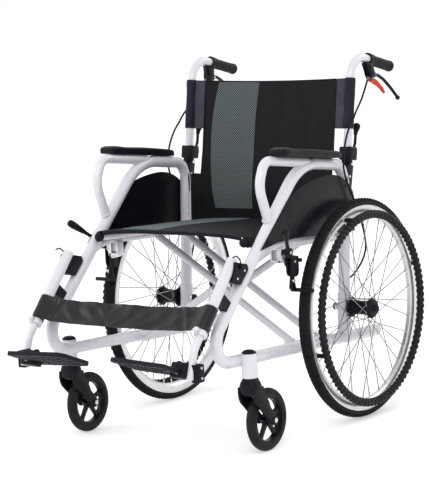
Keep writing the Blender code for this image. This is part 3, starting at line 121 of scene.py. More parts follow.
HAND_RIM_R = RIM_OUTER - 0.0185
HAND_RIM_TUBE = 0.0110
STANDOFF_TURN = math.radians(18.5)
CANE_Y = 0.050
CANE_Z = 0.668
CANE_LEAN = 0.17
GRIP_Y = 0.203
GRIP_Z = 0.8893
GRIP_FALL = 0.25
GRIP_START = 0.183
GRIP_END = 0.278
GRIP_R = 0.0138
HINGE_Y = 0.0456
HINGE_Z = 0.640
BACK_TOP = 0.8565
BACK_HALF = 0.244                    # half width over which the back cloth sags
BACK_SAG = 0.016
BACK_EASE = 0.110                    # height over which the cloth comes forward below the canes
BACK_DIP = 0.006                     # dip of its top edge in the middle
SLEEVE_BOTTOM = 0.729
SLING_FOOT = 0.4720
COLLAR_LOW = 0.6490
COLLAR_HIGH = 0.6830
SLING_INSET = 0.038
LEAVE_X = FRAME_X - 0.006            # where a cloth leaves the tube it wraps
HEM_R = 0.0019
PAD_FRONT = -0.293
PAD_REAR = -0.024
PAD_X = 0.262
PAD_HALF = 0.025
PAD_T = 0.019
GUARD_X = FRAME_X + TUBE_R + 0.0002
HANGER_R = 0.0135
EXTENSION_R = 0.0095
FOOT_Y = -0.6735
FOOT_Z = 0.2380
FOOT_TILT = math.radians(22.0)
FOOT_ROLL = math.radians(2.5)
FLIP_X = 0.228
STRAP_TOP = 0.3735
STRAP_BOTTOM = 0.3265
STRAP_SEAM = -0.050
STRAP_HANG = 0.006
STRAP_WALL = 0.0026
LOCK = (0.285, -0.2928, 0.4642)
LOCK_GRIP_END = (0.3324, -0.3750, 0.5330)
SHOE_PIVOT = (-0.2749, 0.4396)
SHOE_Z = 0.3692
SHOE_BAR_R = 0.005
SHOE_GAP = 0.0008                    # shoe bar to tyre with the lock open
BRAKE_Y = 0.1740
BRAKE_AXIS_Z = GRIP_Z - GRIP_FALL * (BRAKE_Y - GRIP_Y)
BRAKE_TILT = math.radians(9.0)
CABLE_KNOTS = (
    (0.2577, 0.1560, 0.8507), (0.2600, 0.1350, 0.8260), (0.2640, 0.1080, 0.7990),
    (0.2710, 0.0650, 0.7690), (0.2730, 0.0450, 0.7480), (0.2735, 0.0230, 0.7290),
    (0.2755, 0.0010, 0.6950), (0.2765, -0.0125, 0.6540), (0.2765, -0.0090, 0.6230),
    (0.2765, 0.0040, 0.5930), (0.2765, 0.0300, 0.5500), (0.2755, 0.0560, 0.5020),
    (0.2750, 0.0701, 0.4675), (0.2745, 0.0783, 0.4404), (0.2735, 0.0775, 0.4145),
    (0.2700, 0.0620, 0.3858), (0.2620, 0.0350, 0.3590), (0.2560, 0.0235, 0.3510),
)
CABLE_R = 0.0025
CABLE_SIDES = 5                      # bevel steps of the jacket
X_AXIS = Vector((1, 0, 0))
AMBIENT = 0.78                       # strength of the sky where it only lights


def at(x, y, z):
    """A point from its place beside the rear axle's plane."""
    return Vector((x, AXLE_Y + y, z))


def rail_point(x, v, w):
    """A point in the frame's own slope: v runs back along the lower rail, w rises square to it."""
    s, c = math.sin(PITCH), math.cos(PITCH)
    return at(x, v * c + w * s, RAIL_Z - v * s + w * c)


FOLD_AXIS = Vector((0, math.cos(PITCH), -math.sin(PITCH)))
DIAGONAL_DIR = Vector((0, -math.cos(DIAGONAL_SLOPE), -math.sin(DIAGONAL_SLOPE)))
FLIP_DIR = Vector((0, math.cos(FOOT_TILT), -math.sin(FOOT_TILT)))
GRIP_DIR = Vector((0, 1, -GRIP_FALL)).normalized()
HANGER_HEAD = at(FRAME_X, -0.478, 0.474)
HANGER_FOOT = at(FRAME_X, -0.620, 0.322)
HANGER_DIR = (HANGER_FOOT - HANGER_HEAD).normalized()


def diagonal_z(y):
    """Height of the sloping front tube."""
    return 0.3838 + math.tan(DIAGONAL_SLOPE) * (y + 0.479)


def arch_z(y):
    """Height of the arm rest's arch."""
    return ARCH_Z - ARCH_FALL * (y - ARCH_Y)


def upright_y(z):
    """Place of the leaning rear upright."""
    return UPRIGHT_LEAN * (z - WHEEL_RADIUS)


def cane_y(z):
    """Place of the leaning back cane."""
    return CANE_Y + CANE_LEAN * (z - CANE_Z)


def grip_z(y):
    """Height of the falling push grip."""
    return GRIP_Z - GRIP_FALL * (y - GRIP_Y)


def tilted(point):
    """A point of the upright brake turned outwards about the grip's axis."""
    centre = at(FRAME_X, BRAKE_Y, BRAKE_AXIS_Z)
    return centre + Matrix.Rotation(-BRAKE_TILT, 3, GRIP_DIR) @ (Vector(point) - centre)


def settings(group):
    """The property group of this name, read by each operator."""
    return getattr(bpy.context.scene, group)


def frame_of(direction):
    """Two unit vectors square to a direction, the first as near to X as it can be."""
    d = Vector(direction).normalized()
    side = Vector((1, 0, 0))
    if abs(d.dot(side)) > 0.9:
        side = Vector((0, 1, 0))
    first = (side - d * side.dot(d)).normalized()
    return first, d.cross(first)


def rounded_path(corners, radii, step=0.09):
    """A line whose inner corners are rounded to the given radii."""
    points = [Vector(corners[0])]
    for here, radius, before, after in zip(corners[1:-1], radii, corners, corners[2:]):
        here = Vector(here)
        back = (Vector(before) - here).normalized()
        on = (Vector(after) - here).normalized()
        half = back.angle(on) / 2
        reach = radius / math.tan(half)
        centre = here + (back + on).normalized() * (radius / math.sin(half))
        start = here + back * reach - centre
        end = here + on * reach - centre
        turn = start.angle(end)
        steps = max(3, math.ceil(turn / step))
        for i in range(steps + 1):
            t = i / steps
            points.append(centre + (start * math.sin((1 - t) * turn) + end
                                    * math.sin(t * turn)) / math.sin(turn))
    points.append(Vector(corners[-1]))
    return points


def smooth_curve(knots, step):
    """Points about a step apart along a smooth curve through the knots."""
    knots = [Vector(k) for k in knots]
    ends = [knots[0] * 2 - knots[1]] + knots + [knots[-1] * 2 - knots[-2]]
    points = []
    for a, b, c, d in zip(ends, ends[1:], ends[2:], ends[3:]):
        count = max(2, round((c - b).length / step))
        for i in range(count):
            t = i / count
            points.append(0.5 * ((2 * b) + (c - a) * t + (2 * a - 5 * b + 4 * c - d) * t ** 2
                                 + (3 * b - a - 3 * c + d) * t ** 3))
    points.append(knots[-1])
    return points


def clean(shape):
    """Merges doubles and turns every face outwards."""
    bmesh.ops.remove_doubles(shape, verts=shape.verts, dist=1e-6)
    bmesh.ops.recalc_face_normals(shape, faces=shape.faces)
    return shape


def bevelled(name, points, depth, resolution, radii=None):
    """The data of a curve with a round bevel and closed ends."""
    data = bpy.data.curves.new(name, "CURVE")
    data.dimensions = "3D"
    data.bevel_depth = depth
    data.bevel_resolution = resolution
    data.use_fill_caps = True
    line = data.splines.new("POLY")
    line.points.add(len(points) - 1)
    for slot, p, r in zip(line.points, points, radii or [1.0] * len(points)):
        slot.co = (*p, 1.0)
        slot.radius = r
    return data


def tube(points, radius, sides=20, soft=0.0):
    """A round bar along a line, by a bevelled curve. A list of radii tapers it, soft rounds its ends."""
    points = [Vector(p) for p in points]
    radii = list(radius) if isinstance(radius, (list, tuple)) else [radius] * len(points)
    if soft:
        first = (points[1] - points[0]).normalized()
        last = (points[-1] - points[-2]).normalized()
        points = [points[0], points[0] + first * soft * 0.3, points[0] + first * soft, *points[1:-1],
                  points[-1] - last * soft, points[-1] - last * soft * 0.3, points[-1]]
        radii = [radii[0] - soft, radii[0] - soft * 0.3, radii[0], *radii[1:-1],
                 radii[-1], radii[-1] - soft * 0.3, radii[-1] - soft]
    data = bevelled("tube", points, 1.0, max(0, (sides - 4) // 2), radii)
    holder = bpy.data.objects.new("tube", data)
    shape = bmesh.new()
    shape.from_mesh(holder.to_mesh())
    holder.to_mesh_clear()
    bpy.data.objects.remove(holder)
    bpy.data.curves.remove(data)
    return clean(shape)


def rod(start, end, radius, sides=20, soft=0.0):
    """A straight round bar between two points."""
    return tube([start, end], radius, sides, soft)


def pin(low, high, y, z, radius, sides=20, soft=0.0):
    """A rod from one x to another, square to the side frames."""
    return rod(at(low, y, z), at(high, y, z), radius, sides, soft)


def turned(profile, centre, axis, steps=48, closed=False):
    """Spins a profile of (radius, height) round an axis. A closed profile stays off the axis."""
    shape = bmesh.new()
    first = frame_of(axis)[0]
    axis = Vector(axis).normalized()
    centre = Vector(centre)
    verts = [shape.verts.new(centre + first * r + axis * h) for r, h in profile]
    on = verts[1:] + (verts[:1] if closed else [])
    edges = [shape.edges.new(pair) for pair in zip(verts, on)]
    bmesh.ops.spin(shape, geom=verts + edges, cent=centre, axis=axis, dvec=(0, 0, 0),
                   angle=2 * math.pi, steps=steps, use_merge=True, use_duplicate=False)
    return clean(shape)


def shifted(points, first, second=0.0):
    """Pairs of numbers, each moved by the same two."""
    return [(a + first, b + second) for a, b in points]


def both_ways(profile):
    """A profile of (radius, height) followed by its mirror image."""
    return profile + [(r, -h) for r, h in reversed(profile)]


def beside(middle, side, near, far):
    """The two x of a piece on one side of a middle, the lower first."""
    return sorted((middle + side * near, middle + side * far))


def soften(shape, width, segments=3, angle=35.0):
    """Bevels the sharp edges of a shape."""
    limit = math.radians(angle)
    edges = [e for e in shape.edges if e.is_manifold and e.calc_face_angle(0) > limit]
    bmesh.ops.bevel(shape, geom=edges, offset=width, offset_type="OFFSET", segments=segments, profile=0.5,
                    material=-1, affect="EDGES", clamp_overlap=True)
    return clean(shape)


def prism(points, sweep, soft=0.0, segments=3):
    """A flat outline swept along a line."""
    shape = bmesh.new()
    face = shape.faces.new([shape.verts.new(p) for p in points])
    grown = bmesh.ops.extrude_face_region(shape, geom=[face])["geom"]
    bmesh.ops.translate(shape, vec=sweep, verts=[v for v in grown if isinstance(v, bmesh.types.BMVert)])
    clean(shape)
    return soften(shape, soft, segments) if soft else shape


def slab(outline, low, high, soft=0.0, segments=3):
    """An outline of (y, z) beside the axle, extruded from one x to another."""
    return prism([at(low, y, z) for y, z in outline], (high - low, 0, 0), soft, segments)


def draped(columns, rows, place, facing, thickness):
    """A sheet through the points that place gives for two shares from 0 to 1."""
    shape = bmesh.new()
    bmesh.ops.create_grid(shape, x_segments=columns, y_segments=rows, size=0.5)
    for vert in shape.verts:
        vert.co = place(round((vert.co.x + 0.5) * columns) / columns, round((vert.co.y + 0.5) * rows) / rows)
    bmesh.ops.recalc_face_normals(shape, faces=shape.faces)
    if sum(face.normal.dot(facing) for face in shape.faces) < 0:
        bmesh.ops.reverse_faces(shape, faces=shape.faces)
    bmesh.ops.solidify(shape, geom=list(shape.faces), thickness=thickness)
    return clean(shape)


def block(size, centre, axes=None, soft=0.0, segments=3):
    """A box along three square unit vectors, by default the world's."""
    shape = bmesh.new()
    bmesh.ops.create_cube(shape, size=1.0)
    bmesh.ops.scale(shape, vec=size, verts=shape.verts)
    if soft:
        soften(shape, soft, segments)
    if axes:
        turn = Matrix([Vector(a) for a in axes]).transposed().to_4x4()
        bmesh.ops.transform(shape, matrix=turn, verts=shape.verts)
    bmesh.ops.translate(shape, vec=centre, verts=shape.verts)
    return clean(shape)


def lofted(rings):
    """Bridges loops of points and fills the two ends."""
    shape = bmesh.new()
    loops = []
    for ring in rings:
        verts = [shape.verts.new(p) for p in ring]
        loops.append([shape.edges.new(pair) for pair in zip(verts, verts[1:] + verts[:1])])
    for a, b in zip(loops, loops[1:]):
        bmesh.ops.bridge_loops(shape, edges=a + b)
    for loop in (loops[0], loops[-1]):
        bmesh.ops.edgeloop_fill(shape, edges=loop)
    return clean(shape)


def joined(*shapes):
    """Several shapes in one."""
    whole = bmesh.new()
    mesh = bpy.data.meshes.new("joined")
    for shape in shapes:
        shape.to_mesh(mesh)
        whole.from_mesh(mesh)
        shape.free()
    bpy.data.meshes.remove(mesh)
    return whole


def mirrored(shape):
    """The same shape for the other side."""
    other = shape.copy()
    bmesh.ops.scale(other, vec=(-1, 1, 1), verts=other.verts)
    bmesh.ops.reverse_faces(other, faces=other.faces)
    return other


def linked(name, data):
    """A new object in the scene."""
    obj = bpy.data.objects.new(name, data)
    bpy.context.scene.collection.objects.link(obj)
    return obj


def placed(name, shape, look, body=None, nodes=(), sharp=38.0, rounds=0):
    """Makes an object of a shape, gives it its finish and hangs it on its body."""
    mesh = bpy.data.meshes.new(name)
    shape.to_mesh(mesh)
    shape.free()
    mesh.materials.append(LOOKS[look])
    mesh.shade_smooth()
    if not rounds:
        mesh.set_sharp_from_angle(angle=math.radians(sharp))
    obj = linked(name, mesh)
    if rounds:
        finer = obj.modifiers.new("finer", "SUBSURF")
        finer.levels = finer.render_levels = rounds
    if body:
        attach(obj, body)
    if nodes:
        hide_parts(*nodes)
    return obj


def pair(name, shape, look, body, node=None, **more):
    """The left piece, of one shape or a list of them, and its mirror image, each for its side's node."""
    if isinstance(shape, list):
        shape = joined(*shape)
    right = mirrored(shape)
    made = []
    for side, half in (("left", shape), ("right", right)):
        nodes = (f"{node}_{side}",) if node else ()
        made.append(placed(f"{name}_{side}", half, look, f"{body}_{side}", nodes, **more))
    return made


def scaled(colour, factor, lift=0.0):
    """A lighter or darker colour."""
    return tuple(c * factor + lift for c in colour)


def calculated(tree, operation, *values):
    """The outcome of a math node fed with numbers and sockets."""
    made = tree.nodes.new("ShaderNodeMath")
    made.operation = operation
    for socket, value in zip(made.inputs, values):
        if isinstance(value, (int, float)):
            socket.default_value = value
        else:
            tree.links.new(value, socket)
    return made.outputs["Value"]


class Shade:
    """A node material under construction: it keeps the tree and its principled shader."""

    def __init__(self, name, colour, roughness, metallic=0.0, gloss=0.5):
        self.mat = bpy.data.materials.new(name)
        self.mat.use_nodes = True
        self.tree = self.mat.node_tree
        self.shader = self.tree.nodes["Principled BSDF"]
        self.set("Base Color", (*colour, 1.0))
        self.set("Roughness", roughness)
        self.set("Metallic", metallic)
        self.set("Specular IOR Level", gloss)
        self.mat.diffuse_color = (*colour, 1.0)

    def set(self, socket, value):
        self.shader.inputs[socket].default_value = value

    def node(self, kind, **values):
        made = self.tree.nodes.new(kind)
        for key, value in values.items():
            setattr(made, key, value)
        return made

    def link(self, source, target):
        self.tree.links.new(source, target)

    def place(self, scale=(1, 1, 1), turn=(0, 0, 0), layer=None):
        """Object coordinates, or those of a UV layer, scaled and turned."""
        mapping = self.node("ShaderNodeMapping")
        mapping.inputs["Scale"].default_value = scale
        mapping.inputs["Rotation"].default_value = turn
        if layer:
            where = self.node("ShaderNodeUVMap", uv_map=layer).outputs["UV"]
        else:
            where = self.node("ShaderNodeTexCoord").outputs["Object"]
        self.link(where, mapping.inputs["Vector"])
        return mapping.outputs["Vector"]

    def noise(self, scale, detail=3.0, roughness=0.55, where=None):
        made = self.node("ShaderNodeTexNoise")
        made.inputs["Scale"].default_value = scale
        made.inputs["Detail"].default_value = detail
        made.inputs["Roughness"].default_value = roughness
        self.link(where or self.place(), made.inputs["Vector"])
        return made.outputs["Fac"]

    def ramp(self, source, stops):
        """A value or colour by stops of (position, colour)."""
        made = self.node("ShaderNodeValToRGB")
        elements = made.color_ramp.elements
        while len(elements) < len(stops):
            elements.new(0.5)
        for element, (position, colour) in zip(elements, stops):
            element.position = position
            if not isinstance(colour, tuple):
                colour = (colour, colour, colour)
            element.color = (*colour, 1.0)
        self.link(source, made.inputs["Fac"])
        return made.outputs["Color"]

    def drift(self, scale, low, high, top=0.75, foot=0.3, detail=3.0):
        """Soft clouds between two colours or two values."""
        return self.ramp(self.noise(scale, detail), ((foot, low), (top, high)))

    def math(self, operation, *values):
        return calculated(self.tree, operation, *values)

    def mix(self, factor, first, second):
        """A colour between two, by factor."""
        made = self.node("ShaderNodeMix", data_type="RGBA")
        for socket, value in zip((made.inputs["Factor"], *made.inputs[6:8]), (factor, first, second)):
            if isinstance(value, (int, float)):
                socket.default_value = value
            elif isinstance(value, tuple):
                socket.default_value = (*value, 1.0)
            else:
                self.link(value, socket)
        return made.outputs[2]

    def colour(self, source):
        self.link(source, self.shader.inputs["Base Color"])

    def rough(self, source):
        self.link(source, self.shader.inputs["Roughness"])

    def bump(self, height, distance, strength=1.0):
        made = self.node("ShaderNodeBump")
        made.inputs["Strength"].default_value = strength
        made.inputs["Distance"].default_value = distance
        self.link(height, made.inputs["Height"])
        self.link(made.outputs["Normal"], self.shader.inputs["Normal"])


def enamel(colour):
    """Gloss paint on steel tube: faint orange peel and a trace of dust."""
    look = Shade("white_enamel", colour, 0.24)
    look.set("Coat Weight", 0.6)
    look.set("Coat Roughness", 0.06)
    look.colour(look.drift(9.0, scaled(colour, 0.965), colour, 0.7))
    look.rough(look.drift(60.0, 0.20, 0.32))
    look.bump(look.noise(420.0, 2.0), 0.0004, 0.10)
    return look.mat


def moulded(name, colour, roughness=0.45, grain=900.0, strength=0.25):
    """Moulded plastic with a fine grain."""
    look = Shade(name, colour, roughness, 0.0, 0.15)
    look.colour(look.drift(14.0, colour, scaled(colour, 1.35), 0.8))
    look.rough(look.drift(90.0, roughness - 0.07, roughness + 0.08))
    look.bump(look.noise(grain, 2.0), 0.0003, strength)
    return look.mat


def bright_metal(name, colour, roughness=0.25):
    """Polished or plated metal with light wear."""
    look = Shade(name, colour, roughness, 1.0)
    look.colour(look.drift(22.0, scaled(colour, 0.88), colour, 0.7))
    look.rough(look.drift(160.0, roughness - 0.08, roughness + 0.12, detail=4.0))
    look.bump(look.noise(700.0, 2.0), 0.0002, 0.15)
    return look.mat


def rubber(name, colour, roughness=0.72):
    """Dull rubber, a little dusty."""
    look = Shade(name, colour, roughness, 0.0, 0.18)
    look.colour(look.drift(35.0, colour, scaled(colour, 1.9, 0.004), 0.8, 0.35, 4.0))
    look.rough(look.drift(120.0, roughness - 0.1, roughness + 0.1))
    look.bump(look.noise(1100.0, 3.0), 0.0004, 0.3)
    return look.mat


def weave(look, pitch, layer=None):
    """The height of a close plain weave, in the object's metres or a UV layer's."""
    threads = []
    for turn in (0, math.pi / 2):
        wave = look.node("ShaderNodeTexWave")
        wave.inputs["Scale"].default_value = 0.314 / pitch
        wave.inputs["Distortion"].default_value = 0.3
        look.link(look.place(turn=(0, 0, turn), layer=layer), wave.inputs["Vector"])
        threads.append(wave.outputs["Fac"])
    return look.math("MAXIMUM", *threads)


def canvas(name, colour, pitch=0.0011):
    """Close-woven nylon canvas: two crossed sets of threads over soft cloudy wear."""
    roughness = 0.6
    look = Shade(name, colour, roughness, 0.0, 0.18)
    look.set("Sheen Weight", 0.02)
    look.set("Sheen Roughness", 0.4)
    look.colour(look.drift(24.0, colour, scaled(colour, 1.5, 0.002)))
    look.rough(look.drift(70.0, roughness - 0.08, roughness + 0.1))
    look.bump(weave(look, pitch), 0.0003, 0.30)
    return look.mat


def hide(name, colour):
    """Coated cloth with a fine leather grain and soft creases."""
    look = Shade(name, colour, 0.30, 0.0, 0.34)
    look.colour(look.drift(18.0, colour, scaled(colour, 1.6), 0.8))
    look.rough(look.drift(60.0, 0.22, 0.38))
    grain = look.node("ShaderNodeTexVoronoi")
    grain.inputs["Scale"].default_value = 620.0
    look.link(look.place(), grain.inputs["Vector"])
    creases = look.noise(46.0, 2.0, 0.5, look.place(scale=(0.45, 1, 1)))
    look.bump(look.math("ADD", look.math("MULTIPLY", grain.outputs["Distance"], 0.05), creases), 0.0022, 0.38)
    return look.mat


MESH_PITCH = 0.0066


def striped_panel(name, colour, thread, low, high):
    """Canvas with a stripe of open mesh. The stripe's edges are at 0 and 1 of the Band layer's U."""
    look = Shade(name, colour, 0.58, 0.0, 0.16)
    look.set("Sheen Weight", 0.02)
    look.set("Sheen Roughness", 0.4)
    band = look.node("ShaderNodeSeparateXYZ")
    look.link(look.place(layer="Band"), band.inputs["Vector"])
    across, along = band.outputs["X"], band.outputs["Y"]
    inside = look.math("GREATER_THAN", across, 0.0)
    for test, place, limit in (("LESS_THAN", across, 1.0), ("GREATER_THAN", along, low),
                               ("LESS_THAN", along, high)):
        inside = look.math("MULTIPLY", inside, look.math(test, place, limit))
    waves = []
    for turn in (0.0, math.pi / 2):
        flat = look.node("ShaderNodeSeparateXYZ")
        look.link(look.place(turn=(0, 0, turn), layer="Cloth"), flat.inputs["Vector"])
        waves.append(look.math("SINE", look.math("MULTIPLY", flat.outputs["X"], 2 * math.pi / MESH_PITCH)))
    holes = look.math("MULTIPLY", *waves)
    mesh = look.ramp(look.math("MULTIPLY_ADD", holes, 0.5, 0.5),
                     ((0.40, thread), (0.60, scaled(thread, 0.07))))
    plain = look.drift(24.0, colour, scaled(colour, 1.5, 0.002))
    look.colour(look.mix(inside, plain, mesh))
    relief = look.math("MULTIPLY", holes, look.math("MULTIPLY", inside, -0.8))
    look.bump(look.math("ADD", weave(look, 0.0011, "Cloth"), relief), 0.0003, 0.22)
    return look.mat


LOOKS = {}


def materials():
    """Every finish by its short name."""
    looks = settings("wheelchair_finish")
    plastic, silver, cloth = tuple(looks.plastic), tuple(looks.silver), tuple(looks.cloth)
    thread = tuple(looks.thread)
    return {
        "enamel": enamel(tuple(looks.enamel)),
        "plastic": moulded("black_plastic", plastic),
        "satin": moulded("satin_plastic", scaled(plastic, 1.1), 0.32, 600.0, 0.12),
        "plate": moulded("plate_plastic", scaled(plastic, 2.2), 0.5),
        "pad": moulded("moulded_foam", scaled(plastic, 1.2), 0.42, 500.0, 0.2),
        "tyre": rubber("tyre_rubber", tuple(looks.rubber)),
        "caster_rubber": rubber("caster_rubber", scaled(looks.rubber, 1.3), 0.6),
        "grip": rubber("grip_rubber", tuple(looks.rubber), 0.5),
        "alloy": bright_metal("rim_alloy", silver, 0.36),
        "steel": bright_metal("plated_steel", silver, 0.32),
        "dark_steel": bright_metal("dark_steel", scaled(silver, 0.25), 0.35),
        # The spoke steel is bright steel given a dark colour: a painted dark reflection.
        "spoke": bright_metal("spoke_steel_painted_dark_reflection", scaled(silver, 0.34), 0.3),
        "cloth": canvas("black_canvas", cloth),
        "sleeve": canvas("sleeve_canvas", tuple(looks.sleeve), 0.0014),
        # The wing canvas is the sleeve canvas made lighter, as painted sheen.
        "painted_sheen_wing": canvas("wing_canvas_painted_sheen", tuple(looks.painted_sheen_wing), 0.0014),
        "piping": canvas("piping_cord", scaled(cloth, 5.0), 0.0010),
        "strap": hide("coated_cloth", scaled(cloth, 1.2)),
        "back_panel": striped_panel("back_cloth", cloth, thread, 0.520, 0.8865),
        "seat_panel": striped_panel("seat_cloth", cloth, scaled(thread, 1.7), -0.405, 0.05),
        "cable": moulded("cable_jacket", plastic, 0.4),
        "red": moulded("red_plastic", tuple(looks.red), 0.35),
    }


def tint(name, description, default):
    """The property of a colour."""
    return bpy.props.FloatVectorProperty(name=name, description=description, default=default,
                                         subtype="COLOR", size=3, min=0.0, max=1.0)


def number(name, description, default, **more):
    """The property of a number."""
    return bpy.props.FloatProperty(name=name, description=description, default=default, **more)


def count(name, description, default, low, high):
    """The property of a whole number."""
    return bpy.props.IntProperty(name=name, description=description, default=default, min=low, max=high)


class WheelchairFinish(bpy.types.PropertyGroup):
    """Colours of the wheelchair's finishes."""

    enamel: tint("Enamel", "Colour of the painted tubes", (0.78, 0.775, 0.83))
    plastic: tint("Plastic", "Colour of the moulded pieces", (0.0040, 0.0040, 0.0070))
    rubber: tint("Rubber", "Colour of tyres and grips", (0.0060, 0.0060, 0.0072))
    silver: tint("Silver", "Colour of bare and plated metal", (0.72, 0.72, 0.74))
    cloth: tint("Cloth", "Colour of the seat, back and strap cloth", (0.0035, 0.0035, 0.0060))
    sleeve: tint("Sleeve", "Colour of the sleeves on the back canes", (0.0100, 0.0100, 0.0210))
    # The wing colour is the sleeve canvas made lighter: a painted sheen on the flap beside each sleeve.
    painted_sheen_wing: tint("Wing", "Colour of the cloth between a sleeve and the panel", (0.040, 0.041, 0.054))
    thread: tint("Mesh", "Colour of the open mesh stripe", (0.165, 0.195, 0.200))
    red: tint("Red", "Colour of the parking catches", (0.60, 0.05, 0.03))


class WheelchairWheels(bpy.types.PropertyGroup):
    """Sizes of the tread and of the hand rims."""

    blocks: count("Blocks", "Steps of tread round a rear tyre, an even number", 240, 96, 400)
    tread: number("Tread", "Depth of the tread", 0.0026, min=0.0004, max=0.004, subtype="DISTANCE")
    waves: count("Waves", "Turns of the hand rim's twist", 96, 10, 160)
    wave: number("Swelling", "Height of a swelling of the hand rim", 0.0030, min=0.0, max=0.005,
                 subtype="DISTANCE")


class WheelchairStage(bpy.types.PropertyGroup):
    """The camera's place and the light."""

    azimuth: number("Azimuth", "Camera's angle round the chair", math.radians(36.04), subtype="ANGLE")
    elevation: number("Elevation", "Camera's angle above the floor", math.radians(8.03), subtype="ANGLE")
    roll: number("Roll", "Camera's turn about its view", math.radians(-3.34), subtype="ANGLE")
    lens: number("Lens", "Focal length in millimetres", 152.4, min=20.0, max=300.0, subtype="DISTANCE_CAMERA")
    place: bpy.props.FloatVectorProperty(
        name="Place", description="Camera's place, from the rear axle's plane",
        default=(3.099, -4.463, 1.195), subtype="TRANSLATION", size=3,
    )
    floor: tint("Floor", "Colour of the floor", (0.96, 0.96, 0.96))
    lift: number("Floor lift", "How much the floor shines to the camera and in gloss", 0.36, min=0.0, max=1.0)
    light: number("Light", "Strength of the soft lamps", 1.0, min=0.1, max=4.0)


class WHEELCHAIR_OT_side_frames(bpy.types.Operator):
    """Makes the bent side frames with their loops, caster housings, lugs and hinge plates"""

    bl_idname = "wheelchair.side_frames"
    bl_label = "Side frames"

    def corners(self):
        """Corners of the bent tube: tail, front, arch front, arch rear, axle."""

        def crossing(a, b):
            y = (b[1] - a[1]) / (a[0] - b[0])
            return y, a[0] * y + a[1]

        diagonal = (math.tan(DIAGONAL_SLOPE), diagonal_z(0))
        top = (-ARCH_FALL, arch_z(0))
        lower = (-math.tan(PITCH), RAIL_Z)
        upright = (1 / UPRIGHT_LEAN, WHEEL_RADIUS)
        foot_z = RAIL_Z + 0.065
        return ((0.150, lower[0] * 0.150 + lower[1]), crossing(diagonal, lower), crossing(diagonal, top),
                crossing(upright, top), (upright_y(foot_z), foot_z))

    def execute(self, context):
        main = tube(rounded_path([at(FRAME_X, *c) for c in self.corners()], (0.050, 0.160, 0.050)), TUBE_R,
                    32, 0.0012)
        loop = tube(rounded_path([at(FRAME_X, -0.318, diagonal_z(-0.318)), at(FRAME_X, -0.354, 0.632),
                                  at(FRAME_X, -0.325, 0.6905), at(FRAME_X, -0.140, arch_z(-0.140) + 0.002)],
                                 (0.064, 0.034)), LOOP_R, 24)
        seat = tube(rounded_path([at(FRAME_X, -0.392, diagonal_z(-0.392)), at(FRAME_X, -0.325, 0.4825),
                                  at(FRAME_X, upright_y(0.461), 0.461)], (0.120,)), SEAT_TUBE_R, 24)
        low, high = RAIL_Z - 0.012, WHEEL_RADIUS + 0.035
        sleeve = rod(at(FRAME_X, upright_y(low), low), at(FRAME_X, upright_y(high), high), TUBE_R + 0.0022,
                     32, 0.0009)
        housing = turned([(0.0072, HOUSING_BOTTOM), (HOUSING_R - 0.0012, HOUSING_BOTTOM),
                          (HOUSING_R, HOUSING_BOTTOM + 0.0012), (HOUSING_R, HOUSING_TOP - 0.0012),
                          (HOUSING_R - 0.0012, HOUSING_TOP), (0.0072, HOUSING_TOP)],
                         at(CASTER_X, STEM_Y, 0), (0, 0, 1), 40, closed=True)
        parts = [main, loop, seat, sleeve, housing]
        axes = (X_AXIS, FOLD_AXIS, FOLD_AXIS.cross(-X_AXIS))
        pins = []
        for end, way in ((PIVOT_V[0], -1), (PIVOT_V[1], 1)):
            parts.append(block((0.036, 0.005, 0.026), rail_point(FOLD_X + 0.009, end + way * 0.003, 0), axes,
                               0.0015))
            for near, far, *form in ((-0.012, 0.0075, 0.005, 20), (0.0058, 0.0092, 0.0078, 6, 0.0007)):
                pins.append(rod(rail_point(FOLD_X, end + way * near, 0),
                                rail_point(FOLD_X, end + way * far, 0), *form))
        # short weld beads where the thinner tubes meet the main one
        for y, z, way, r in ((-0.318, diagonal_z(-0.318), Vector((0, -0.5, 1)), LOOP_R),
                             (-0.392, diagonal_z(-0.392), Vector((0, 1, 0.35)), SEAT_TUBE_R)):
            spot = at(FRAME_X, y, z) + way.normalized() * (TUBE_R + 0.0015)
            parts.append(turned([(r - 0.001, -0.002), (r + 0.0018, -0.0012), (r + 0.0012, 0.0012),
                                 (r - 0.001, 0.002)], spot, way, 24, closed=True))
        pair("bent_frame", parts, "enamel", "frame", "side_frame")
        pair("pivot_bolts", pins, "steel", "frame")
        outline = ((0.0200, HINGE_Z - 0.078), (0.0340, HINGE_Z - 0.082), (HINGE_Y + 0.008, HINGE_Z - 0.006),
                   (HINGE_Y + 0.0060, HINGE_Z + 0.0060), (HINGE_Y - 0.0040, HINGE_Z + 0.0075),
                   (0.020, HINGE_Z - 0.006))
        plates = [slab(outline, x, x + 0.004, 0.001) for x in (FRAME_X - 0.0148, FRAME_X + 0.0108)]
        pair("hinge_plates", plates, "plastic", "frame")
        bolts = [pin(FRAME_X - 0.0168, FRAME_X + 0.0168, HINGE_Y, HINGE_Z, 0.0040, 24, 0.0006)]
        for y, z in ((0.0270, HINGE_Z - 0.068), (0.0330, HINGE_Z - 0.030)):
            bolts.append(pin(FRAME_X - 0.0166, FRAME_X + 0.0166, y, z, 0.0034, 20, 0.0006))
        pair("hinge_bolts", bolts, "steel", "frame")
        low, high, r = HOUSING_TOP, HOUSING_TOP + 0.0004, HOUSING_R - 0.0006
        washer = turned([(0.0068, low), (r, low), (r, high), (0.0068, high)],
                        at(CASTER_X, STEM_Y, 0), (0, 0, 1), 40, closed=True)
        pair("housing_washer", washer, "steel", "frame")
        return {"FINISHED"}


